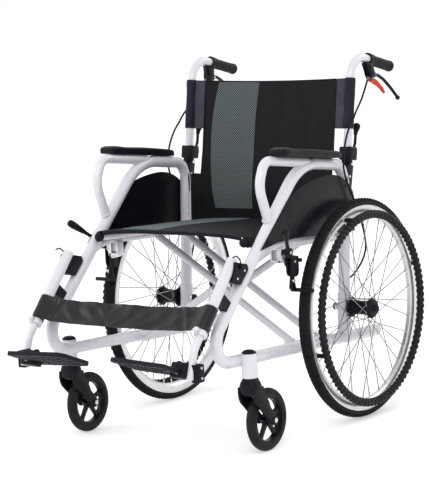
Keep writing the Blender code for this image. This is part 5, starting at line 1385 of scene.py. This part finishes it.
class WHEELCHAIR_OT_canes(bpy.types.Operator):
    """Makes the back canes with their grips, collars and fold releases"""

    bl_idname = "wheelchair.canes"
    bl_label = "Back canes"

    def execute(self, context):
        pair("bent_cane", tube(cane_points(COLLAR_LOW + 0.006, GRIP_END - 0.012), CANE_R, 32, 0.0010),
             "enamel", "back", "back_cane")
        start = at(FRAME_X, GRIP_START, grip_z(GRIP_START))
        length = (at(FRAME_X, GRIP_END, grip_z(GRIP_END)) - start).length
        bore, r = CANE_R + 0.0005, GRIP_R
        profile = [(bore, 0.0), *shifted(((0.0014, 0.0), (0.002, 0.0007), (0.002, 0.0052), (0.0014, 0.006),
                                          (-0.0012, 0.0072)), r)]
        ribs = 13
        step = (length - 0.0205) / ribs
        for i in range(ribs):
            low = 0.0085 + (length - 0.0205) * i / ribs
            profile += shifted(((-0.0010, 0), (-0.0002, step * 0.16), (0, step * 0.3), (0, step * 0.58),
                                (-0.0002, step * 0.72), (-0.0010, step * 0.86)), r, low)
        profile += [*shifted(((-0.0010, -0.0115), (0.0006, -0.0098), (0.0010, -0.0088), (0.0010, -0.0034),
                              (0.0003, -0.0016), (-0.0016, -0.0004), (-0.0040, 0)), r, length), (0, length)]
        pair("ribbed_grip", turned(profile, start, GRIP_DIR, 48), "grip", "back", "hand_grip", sharp=50.0)
        lean = Vector((0, CANE_LEAN, 1)).normalized()
        mid_z = (COLLAR_LOW + COLLAR_HIGH) / 2
        body = block((0.036, 0.034, COLLAR_HIGH - COLLAR_LOW), at(FRAME_X, cane_y(mid_z) + 0.0045, mid_z),
                     (X_AXIS, lean.cross(X_AXIS), lean), 0.0040, 4)
        outline = shifted(((-0.0095, 0.020), (-0.0095, -0.003), (-0.0075, -0.0070), (-0.004, -0.0095),
                           (0.004, -0.0095), (0.0085, -0.0065), (0.0105, -0.003), (0.0125, 0.020)),
                          HINGE_Y, HINGE_Z)
        tongue = slab(outline, FRAME_X - 0.0100, FRAME_X + 0.0100, 0.0008)
        x, y, z = 0.250, 0.0775, 0.6650
        ear = shifted(((-0.016, -0.0075), (0.002, -0.0056), (0.0045, -0.0030), (0.0052, 0),
                       (0.0045, 0.0030), (0.002, 0.0056), (-0.016, 0.0075)), y, z)
        ears = [slab(ear, *beside(x, side, 0.0070, 0.0100), 0.0005) for side in (1, -1)]
        pair("cane_collar", [body, tongue, *ears], "plastic", "back", "back_collar")
        pair("collar_pin", pin(x - 0.0112, x + 0.0112, y, z, 0.0022, 16, 0.0004), "steel", "back")
        ky, kz = 0.101, 0.7293
        stem = tube(rounded_path([at(x, y, z - 0.003), at(x, y + 0.002, z + 0.006),
                                  at(x, y + 0.0120, z + 0.024), at(x, ky - 0.0065, kz - 0.0165)],
                                 (0.010, 0.014), 0.3), 0.0038, 20)
        hub = pin(x - 0.0065, x + 0.0065, y, z, 0.0048, 28, 0.0005)
        knob = turned([(0, -0.0205), (0.0050, -0.0205), (0.0054, -0.0160), (0.0058, -0.0120),
                       (0.0072, -0.0080), (0.0086, -0.0050), (0.0093, -0.0015), (0.0094, 0.0015),
                       (0.0086, 0.0052), (0.0070, 0.0080), (0.0040, 0.0098), (0, 0.0105)], at(x, ky, kz),
                      (0, 0.4, 1), 36)
        pair("fold_release", [stem, hub, knob], "plastic", "back_release", "back_release")
        return {"FINISHED"}


class WHEELCHAIR_OT_hand_brakes(bpy.types.Operator):
    """Makes the attendant brakes: housings, levers, parking catches and cables"""

    bl_idname = "wheelchair.hand_brakes"
    bl_label = "Hand brakes"

    def ring(self, drop, front, back, points):
        """A level of the housing by points of (x from the grip's axis, share from front to back)."""
        return [tilted(at(FRAME_X + w, BRAKE_Y + front + (back - front) * share, BRAKE_AXIS_Z - drop))
                for w, share in points]

    def execute(self, context):
        x = FRAME_X
        centre = at(x, BRAKE_Y, BRAKE_AXIS_Z)
        wall = [(CANE_R + 0.0002, -0.0075), (CANE_R + 0.0048, -0.0075), (CANE_R + 0.0055, -0.0067)]
        clamp = turned(both_ways(wall), centre, GRIP_DIR, 40, closed=True)
        levels = ((0.0070, -0.0305, 0.0015, 0.0084), (0.0110, -0.0268, 0.0034, 0.0100),
                  (0.0160, -0.0235, 0.0055, 0.0105), (0.0240, -0.0214, 0.0070, 0.0106),
                  (0.0320, -0.0200, 0.0080, 0.0105))
        shell = ((-1, 0.22), (-0.86, 0.07), (-0.6, 0), (0.6, 0), (0.86, 0.07), (1, 0.22), (1, 0.78),
                 (0.86, 0.93), (0.6, 1), (-0.6, 1), (-0.86, 0.93), (-1, 0.78))
        walls = [lofted([self.ring(drop, front, back, [(half * a, b) for a, b in shell])
                         for drop, front, back, half in levels])]
        # two cheeks beside the lever below
        levels = ((0.0320, -0.0200, 0.0080, 0.0105), (0.0380, -0.0192, 0.0116, 0.0104),
                  (0.0430, -0.0184, 0.0141, 0.0100), (0.0470, -0.0168, 0.0112, 0.0088),
                  (0.0490, -0.0157, 0.0083, 0.0076))
        near = 0.0049
        for side in (1, -1):
            rings = []
            for drop, front, back, half in levels:
                cheek = ((near, 0.02), (half * 0.8, 0.02), (half, 0.16), (half, 0.84), (half * 0.8, 0.98),
                         (near, 0.98))
                rings.append(self.ring(drop, front, back, [(side * w, b) for w, b in cheek]))
            walls.append(lofted(rings))
        across = 0.0052
        nose = lofted([self.ring(drop, front, back, ((-across, 0), (across, 0), (across, 1), (-across, 1)))
                       for drop, front, back in ((0.0310, -0.0200, 0.0), (0.0470, -0.0168, -0.0048))])
        pair("brake_housing", [clamp, nose, *walls], "satin", "back", "brake_body")
        ly, lz = BRAKE_Y + 0.0076, BRAKE_AXIS_Z - 0.0385
        side_way = (tilted(at(x + 1, BRAKE_Y, 0)) - tilted(at(x, BRAKE_Y, 0))).normalized()
        pivot, reach = tilted(at(x, ly, lz)), side_way * 0.0112
        pair("brake_pins", rod(pivot - reach, pivot + reach, 0.0026, 20, 0.0005), "steel", "back")
        points = rounded_path([at(x, ly, lz), at(x, ly + 0.0190, lz - 0.0025),
                               at(x, ly + 0.0510, lz - 0.0180), at(x, ly + 0.0805, lz - 0.0425),
                               at(x, ly + 0.1091, lz - 0.0714)], (0.05, 0.08, 0.3), 0.1)
        points = [tilted(p) for p in points]
        radii = [0.0045 - 0.0006 * i / (len(points) - 1) for i in range(len(points))]
        arm = tube(points, radii, 24)
        for vert in arm.verts:
            # the blade is a little flat
            near = min(points, key=lambda p: (p - vert.co).length_squared)
            vert.co += side_way * (vert.co - near).dot(side_way) * 0.12
        r = 0.0062
        ball = [(r * math.sin(a), -r * math.cos(a)) for a in [math.pi * k / 14 for k in range(15)]]
        ball[0], ball[-1] = (0, -r), (0, r)
        knob = turned(ball, points[-1], (0, 0.7, -0.7), 28)
        pair("brake_blade", [arm, knob], "satin", "brake_lever", "brake_lever")
        rings = []
        cy, cz = BRAKE_Y - 0.0124, BRAKE_AXIS_Z - 0.0522
        for run, drop, wide, deep in ((0.0005, 0.0005, 0.0050, 0.0028), (0.0020, 0.0008, 0.0066, 0.0044),
                                      (0.0115, 0.0022, 0.0086, 0.0060), (0.0190, 0.0050, 0.0090, 0.0064),
                                      (0.0252, 0.0085, 0.0088, 0.0064), (0.0385, 0.0160, 0.0064, 0.0052),
                                      (0.0521, 0.0270, 0.0055, 0.0042), (0.0600, 0.0362, 0.0046, 0.0036),
                                      (0.0620, 0.0390, 0.0034, 0.0026)):
            rings.append([tilted(at(x + wide * math.cos(a), cy + run + deep * math.sin(a) * 0.55,
                                    cz - drop + deep * math.sin(a) * 0.85))
                          for a in [2 * math.pi * k / 20 for k in range(20)]])
        pair("parking_catch", lofted(rings), "red", "park_lock", "park_lock")
        points = smooth_curve([at(*knot) for knot in CABLE_KNOTS], 3 * 2 * CABLE_R)
        for side, way in (("left", 1), ("right", -1)):
            line = [Vector((way * p.x, p.y, p.z)) for p in points]
            data = bevelled(f"cable_jacket_{side}", line, CABLE_R, CABLE_SIDES)
            data.splines[0].use_smooth = True
            data.materials.append(LOOKS["cable"])
            cable = linked(f"cable_jacket_{side}", data)
            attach(cable, f"back_{side}")
            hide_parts(f"brake_cable_{side}")
            length = sum((b - a).length for a, b in zip(points, points[1:]))
        low, near = points[0], points[2]
        way = (near - low).normalized()
        ferrule = [rod(low - way * 0.006, low + way * 0.010, 0.0036, 20, 0.0005),
                   rod(low + way * 0.001, low + way * 0.005, 0.0048, 6, 0.0005)]
        pair("cable_ferrule", ferrule, "dark_steel", "back")
        return {"FINISHED"}


class WHEELCHAIR_OT_braces(bpy.types.Operator):
    """Makes the folding cross: two legs, each with its seat rail and lower pivot tube"""

    bl_idname = "wheelchair.braces"
    bl_label = "Folding cross"

    def leg(self, side, front_v):
        """side is +1 for the leg whose seat rail is on the left."""
        parts = [rod(rail_point(side * FOLD_X, RAIL_FRONT_V, SEAT_RISE),
                     rail_point(side * FOLD_X, RAIL_REAR_V, SEAT_RISE), RAIL_R, 28, 0.0008),
                 rod(rail_point(-side * FOLD_X, PIVOT_V[0], 0), rail_point(-side * FOLD_X, PIVOT_V[1], 0),
                     0.0115, 28, 0.0010)]
        for v in front_v:
            low, high = rail_point(-side * FOLD_X, v, 0), rail_point(side * FOLD_X, v, SEAT_RISE)
            parts.append(rod(low, high, BRACE_R, 28))
            way = (high - low).normalized()
            bead = both_ways([(BRACE_R - 0.001, -0.0022), (BRACE_R + 0.0016, -0.0012)])
            for spot in (low + way * 0.0135, high - way * 0.0125):
                parts.append(turned(bead, spot, way, 28, closed=True))
        return joined(*parts)

    def cap(self, side):
        r = RAIL_R + 0.0012
        profile = [(0, 0.006), (r - 0.0006, 0.006), (r, 0.0052), (r, -0.0010), (r * 0.96, -0.0040),
                   (r * 0.84, -0.0068), (r * 0.64, -0.0090), (r * 0.36, -0.0105), (0, -0.0110)]
        return turned(profile, rail_point(side * FOLD_X, RAIL_FRONT_V, SEAT_RISE), FOLD_AXIS, 40)

    def execute(self, context):
        rear_v = tuple(v + BRACE_STEP for v in BRACE_A_V)
        placed("cross_leg_front", self.leg(1, BRACE_A_V), "enamel", "brace_front", ("brace_front",))
        placed("cross_leg_rear", self.leg(-1, rear_v), "enamel", "brace_rear", ("brace_rear",))
        placed("rail_cap_left", self.cap(1), "plastic", "brace_front")
        placed("rail_cap_right", self.cap(-1), "plastic", "brace_rear")
        mid = SEAT_RISE / 2
        bolts = []
        for v in BRACE_A_V:
            near, far = v - BRACE_R, v + BRACE_STEP + BRACE_R
            for low, high, *form in ((near - 0.0042, near + 0.001, 0.0078, 6, 0.0008),
                                     (v, far + 0.006, 0.0040, 20, 0.0005),
                                     (far + 0.0012, far + 0.0062, 0.0072, 6, 0.0008)):
                bolts.append(rod(rail_point(0, low, mid), rail_point(0, high, mid), *form))
        placed("cross_bolts", joined(*bolts), "dark_steel", "brace_front")
        return {"FINISHED"}


def laid(shape, along, left, right):
    """Gives a cloth its two UV layers: its own metres, and its place between a stripe's two edges."""
    own, stripe = shape.loops.layers.uv.new("Cloth"), shape.loops.layers.uv.new("Band")
    for face in shape.faces:
        for loop in face.loops:
            p = loop.vert.co
            v = along(p)
            low, high = eased(v, left), eased(v, right)
            loop[own].uv = (p.x, v)
            loop[stripe].uv = ((p.x - low) / (high - low), v)


def eased(value, stops):
    """A value on the one smooth curve through a table of (place, value)."""
    total = 0.0
    for i, (a, height) in enumerate(stops):
        share = 1.0
        for b in [stop[0] for stop in stops[:i] + stops[i + 1:]]:
            share *= (value - b) / (a - b)
        total += height * share
    return total


class WHEELCHAIR_OT_seat(bpy.types.Operator):
    """Makes the seat cloth with its sleeves on the rails and its piping"""

    bl_idname = "wheelchair.seat"
    bl_label = "Seat cloth"

    def crown(self, u, t):
        full = 0.0024 + 0.0076 * (0.60 + 0.40 * math.sin(math.pi * min(t + 0.15, 1)))
        return full * (1 - u ** 4)

    def section(self, t, steps=40):
        """The cloth's cross section: over both rails and down round their outer sides."""
        wrap = [math.radians(150) * k / 12 for k in range(12, 0, -1)]
        lines = []
        for r in (RAIL_R + 0.0040, RAIL_R + 0.0008):
            side = [(FOLD_X + r * math.sin(a), r * math.cos(a)) for a in wrap]
            top = [(FOLD_X * u, r + self.crown(u, t)) for u in [1 - 2 * k / steps for k in range(steps + 1)]]
            lines.append(side + top + [(-x, w) for x, w in reversed(side)])
        return lines[0] + lines[1][::-1]

    def execute(self, context):
        front, rear = RAIL_FRONT_V + 0.001, RAIL_REAR_V - 0.004
        rings = []
        for i in range(31):
            t = i / 30
            ring = []
            for x, w in self.section(t):
                reach = rear + 0.026 * max(0.0, 1 - (x / 0.20) ** 2)
                v = front + (reach - front) * t
                wrinkle = 0.0009 * noise.noise(Vector((x * 9, v * 16, 3.1))) * min(1.0, 6 * t)
                ring.append(rail_point(x, v, SEAT_RISE + w + wrinkle))
            rings.append(ring)
        shape = lofted(rings)
        c, s = math.cos(PITCH), math.sin(PITCH)

        def along(p):
            return (p.y - AXLE_Y) * c - (p.z - RAIL_Z) * s

        left = ((-0.405, -0.163), (-0.30, -0.192), (-0.18, -0.206), (-0.01, -0.184))
        right = ((-0.405, -0.044), (-0.20, -0.056), (-0.01, -0.045))

        laid(shape, along, left, right)
        cloth = placed("seat_cloth", shape, "seat_panel", None, ("seat_sling",), sharp=50.0)
        cords = []
        for lift, ahead, r in ((RAIL_R + 0.0030, 0.0004, 0.0019), (RAIL_R - 0.0040, -0.0004, 0.0015)):
            share = 1 if lift > RAIL_R else 0.96
            line = [rail_point(FOLD_X * u, front - ahead, SEAT_RISE + lift + self.crown(u, 0) * share)
                    for u in [1 - 2 * k / 32 for k in range(33)]]
            cords.append(tube(line, r, 10))
        piping = placed("seat_piping", joined(*cords), "piping")
        rows = []
        for lift, ahead in ((RAIL_R + 0.0036, 0.0), (RAIL_R + 0.0024, 0.0012), (RAIL_R - 0.0030, 0.0016),
                            (RAIL_R - 0.0062, 0.0006), (RAIL_R - 0.0062, -0.0030),
                            (RAIL_R + 0.0006, -0.0030)):
            rows.append([rail_point(FOLD_X * u * 0.955, front - ahead, SEAT_RISE + lift + self.crown(u, 0))
                         for u in [1 - 2 * k / 40 for k in range(41)]])
        hem = placed("seat_hem", lofted([list(column) for column in zip(*rows)]), "cloth", sharp=50.0)
        for obj in (cloth, piping, hem):
            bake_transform(obj)
        return {"FINISHED"}


class WHEELCHAIR_OT_back(bpy.types.Operator):
    """Makes the back cloth with its sleeves on the canes"""

    bl_idname = "wheelchair.back"
    bl_label = "Back cloth"

    def depth(self, x, z):
        """How far behind the axle's plane the cloth's middle is."""
        bend_z = COLLAR_HIGH - 0.012
        if z > bend_z:
            base = cane_y(z)
        else:
            share = max(0, (z - bend_z + BACK_EASE) / BACK_EASE)
            base = upright_y(z) + (cane_y(bend_z) - upright_y(bend_z)) * share
        sag = BACK_SAG * (1 - (x / BACK_HALF) ** 2)
        return base + sag - 0.002

    def dipped(self, x, high_z):
        """The height of an upper edge, which dips in the middle."""
        return high_z - BACK_DIP * (1 - (x / BACK_HALF) ** 2)

    def panel(self, low_x, high_x, low_z, high_z, columns, rows):
        """A piece of the back cloth between two heights."""

        def place(u, v):
            x = low_x + (high_x - low_x) * u
            top = self.dipped(x, high_z)
            z = low_z + (top - low_z) * v
            near_top = math.exp(-((top - z) / 0.010) ** 2) if high_z == BACK_TOP else 0
            ripple = 0.0014 * noise.noise(Vector((x * 14, 0.4, z * 7)))
            return at(x, self.depth(x, z) - 0.0008 * near_top + ripple, z)

        return draped(columns, rows, place, Vector((0, -1, 0)), 0.0030)

    def execute(self, context):
        edge = LEAVE_X - SLING_INSET
        left = ((0.52, -0.157), (0.60, -0.174), (0.735, -0.182), (0.88, -0.155))
        right = ((0.52, -0.042), (0.60, -0.046), (0.735, -0.048), (0.88, -0.033))
        main = self.panel(-edge, edge, SLING_FOOT, BACK_TOP, 60, 60)
        laid(main, lambda p: p.z, left, right)
        cloth = placed("back_cloth", main, "back_panel", "back_right", ("back_sling",), sharp=50.0)
        others = []
        # The wings take the lighter wing canvas, a painted sheen on the flaps beside the sleeves.
        pieces = (("back_wings", "painted_sheen_wing", 0.2460, SLEEVE_BOTTOM, BACK_TOP, 30),
                  ("back_flaps", "cloth", 0.2325, SLING_FOOT + 0.004, 0.612, 20))
        for name, look, outer, low_z, high_z, rows in pieces:
            sides = [self.panel(*beside(0, way, edge - 0.002, outer), low_z, high_z, 8, rows)
                     for way in (1, -1)]
            others.append(placed(name, joined(*sides), look, "back_right", sharp=50.0))
        lean = Vector((0, CANE_LEAN, 1)).normalized()
        for way, side in ((1, "left"), (-1, "right")):
            low = at(way * FRAME_X, cane_y(SLEEVE_BOTTOM), SLEEVE_BOTTOM)
            length = (BACK_TOP - SLEEVE_BOTTOM) / lean.z
            r = CANE_R + 0.0005
            profile = [(r, 0.0004), (r + 0.0016, 0)]
            for k in range(13):
                share = k / 12
                full = 0.0021 + 0.0005 * math.sin(share * 9 + way) + (0.0005 if k in (0, 1, 11, 12) else 0)
                profile.append((r + full, 0.0012 + (length - 0.0024) * share))
            profile += [(r + 0.0016, length), (r, length - 0.0004)]
            sleeve = turned(profile, low, lean, 40, closed=True)
            others.append(placed(f"cane_sleeve_{side}", sleeve, "sleeve", f"back_{side}", sharp=50.0))
        shares = [k / 40 for k in range(41)]
        line = []
        for x in [edge * (1 - 2 * share) for share in shares]:
            z = self.dipped(x, BACK_TOP) - 0.0012
            line.append(at(x, self.depth(x, z) + 0.0004, z))
        hems = [tube(line, HEM_R, 12, 0.0008)]
        for way in (1, -1):
            heights = [SLING_FOOT + (BACK_TOP - 0.004 - SLING_FOOT) * share for share in shares]
            hems.append(tube([at(way * edge, self.depth(edge, z), z) for z in heights], HEM_R, 12, 0.0008))
        others.append(placed("back_hem", joined(*hems), "cloth", "back_right"))
        for obj in (cloth, others[0], others[1], others[-1]):
            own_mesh(obj)
        return {"FINISHED"}


def soft_box(name, energy, size, place, aim):
    """A soft box lamp that faces a point."""
    data = bpy.data.lights.new(name, "AREA")
    data.shape = "RECTANGLE"
    data.size, data.size_y = size
    data.energy = energy
    lamp = linked(name, data)
    lamp.location = place
    lamp.rotation_euler = (Vector(aim) - Vector(place)).to_track_quat("-Z", "Y").to_euler()


def seen_white(tree):
    """One where the camera, gloss or glass sees a background, nothing where it only lights."""
    path = tree.nodes.new("ShaderNodeLightPath")
    total = path.outputs["Is Camera Ray"]
    for kind in ("Is Glossy Ray", "Is Transmission Ray"):
        total = calculated(tree, "ADD", total, path.outputs[kind])
        total.node.use_clamp = True
    return total


class WHEELCHAIR_OT_stage(bpy.types.Operator):
    """Makes the floor, the sky, the lamps and the camera"""

    bl_idname = "wheelchair.stage"
    bl_label = "Stage"

    def execute(self, context):
        stage = settings("wheelchair_stage")
        scene = context.scene
        scene.view_settings.view_transform = "Standard"
        self.sky(scene)
        self.floor(tuple(stage.floor), stage.lift)
        middle = (0.0, 0.0, 0.45)
        for name, energy, size, place in (("key", 46.0, (2.6, 2.2), (1.6, -3.0, 3.0)),
                                          ("fill", 20.0, (2.2, 2.2), (-3.0, -2.0, 1.9)),
                                          ("rim", 22.0, (2.4, 1.8), (1.6, 3.0, 2.6))):
            soft_box(name, energy * stage.light, size, place, middle)
        camera = linked("camera", bpy.data.cameras.new("camera"))
        camera.data.sensor_fit = "VERTICAL"
        camera.data.sensor_height = 36.0
        camera.data.lens = stage.lens
        camera.data.clip_end = 60.0
        back = Vector((
            math.sin(stage.azimuth) * math.cos(stage.elevation),
            -math.cos(stage.azimuth) * math.cos(stage.elevation),
            math.sin(stage.elevation),
        ))
        right = Vector((math.cos(stage.azimuth), math.sin(stage.azimuth), 0.0))
        up = back.cross(right)
        c, s = math.cos(stage.roll), math.sin(stage.roll)
        turn = Matrix((c * right + s * up, -s * right + c * up, back)).transposed()
        camera.matrix_world = Matrix.Translation(at(*stage.place)) @ turn.to_4x4()
        scene.camera = camera
        return {"FINISHED"}

    def sky(self, scene):
        """A plain pale sky, white to the camera and in gloss and glass."""
        world = bpy.data.worlds.new("sky")
        world.use_nodes = True
        tree = world.node_tree
        back = tree.nodes["Background"]
        back.inputs["Color"].default_value = (1.0, 1.0, 1.0, 1.0)
        strength = calculated(tree, "MULTIPLY_ADD", seen_white(tree), 1.0 - AMBIENT, AMBIENT)
        tree.links.new(strength, back.inputs["Strength"])
        scene.world = world

    def floor(self, colour, lift):
        """A wide pale floor. To the camera, gloss and glass it shines a little, so that it ends in white."""
        shape = bmesh.new()
        bmesh.ops.create_grid(shape, x_segments=1, y_segments=1, size=25.0)
        mesh = bpy.data.meshes.new("floor")
        shape.to_mesh(mesh)
        shape.free()
        mat = bpy.data.materials.new("floor")
        mat.use_nodes = True
        nodes, links = mat.node_tree.nodes, mat.node_tree.links
        nodes.remove(nodes["Principled BSDF"])
        plain = nodes.new("ShaderNodeBsdfDiffuse")
        plain.inputs["Color"].default_value = (*colour, 1.0)
        shine = nodes.new("ShaderNodeEmission")
        share = calculated(mat.node_tree, "MULTIPLY", seen_white(mat.node_tree), lift)
        links.new(share, shine.inputs["Strength"])
        both = nodes.new("ShaderNodeAddShader")
        links.new(plain.outputs["BSDF"], both.inputs[0])
        links.new(shine.outputs["Emission"], both.inputs[1])
        links.new(both.outputs["Shader"], nodes["Material Output"].inputs["Surface"])
        mesh.materials.append(mat)
        obj = linked("floor", mesh)


class WHEELCHAIR_OT_finishes(bpy.types.Operator):
    """Makes the finishes that the pieces share"""

    bl_idname = "wheelchair.finishes"
    bl_label = "Finishes"

    def execute(self, context):
        LOOKS.update(materials())
        return {"FINISHED"}


STEPS = ("finishes", "side_frames", "guards", "arm_pads", "rear_wheels", "hand_rims", "casters", "leg_rests",
         "footplates", "calf_straps", "wheel_locks", "canes", "hand_brakes", "braces", "seat", "back",
         "stage")


class WHEELCHAIR_PT_panel(bpy.types.Panel):
    """The wheelchair's settings and the steps that build it."""

    bl_label = "Wheelchair"
    bl_idname = "WHEELCHAIR_PT_panel"
    bl_space_type = "VIEW_3D"
    bl_region_type = "UI"
    bl_category = "Wheelchair"

    def draw(self, context):
        for name in GROUPS:
            box = self.layout.box()
            group = getattr(context.scene, name)
            for key in group.__annotations__:
                box.prop(group, key)
        for step in STEPS:
            self.layout.operator("wheelchair." + step)


GROUPS = {
    "wheelchair_finish": WheelchairFinish, "wheelchair_wheels": WheelchairWheels,
    "wheelchair_stage": WheelchairStage,
}
CLASSES = (
    *GROUPS.values(), WHEELCHAIR_OT_finishes, WHEELCHAIR_OT_side_frames, WHEELCHAIR_OT_guards,
    WHEELCHAIR_OT_arm_pads, WHEELCHAIR_OT_rear_wheels, WHEELCHAIR_OT_hand_rims, WHEELCHAIR_OT_casters,
    WHEELCHAIR_OT_leg_rests, WHEELCHAIR_OT_footplates, WHEELCHAIR_OT_calf_straps, WHEELCHAIR_OT_wheel_locks,
    WHEELCHAIR_OT_canes, WHEELCHAIR_OT_hand_brakes, WHEELCHAIR_OT_braces, WHEELCHAIR_OT_seat,
    WHEELCHAIR_OT_back, WHEELCHAIR_OT_stage, WHEELCHAIR_PT_panel,
)


def register():
    for cls in CLASSES:
        bpy.utils.register_class(cls)
    for name, group in GROUPS.items():
        setattr(bpy.types.Scene, name, bpy.props.PointerProperty(type=group))


def unregister():
    for name in GROUPS:
        delattr(bpy.types.Scene, name)
    for cls in reversed(CLASSES):
        bpy.utils.unregister_class(cls)


def main():
    register()
    for step in STEPS:
        getattr(bpy.ops.wheelchair, step)()
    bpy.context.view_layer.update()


if __name__ == "__main__":
    main()
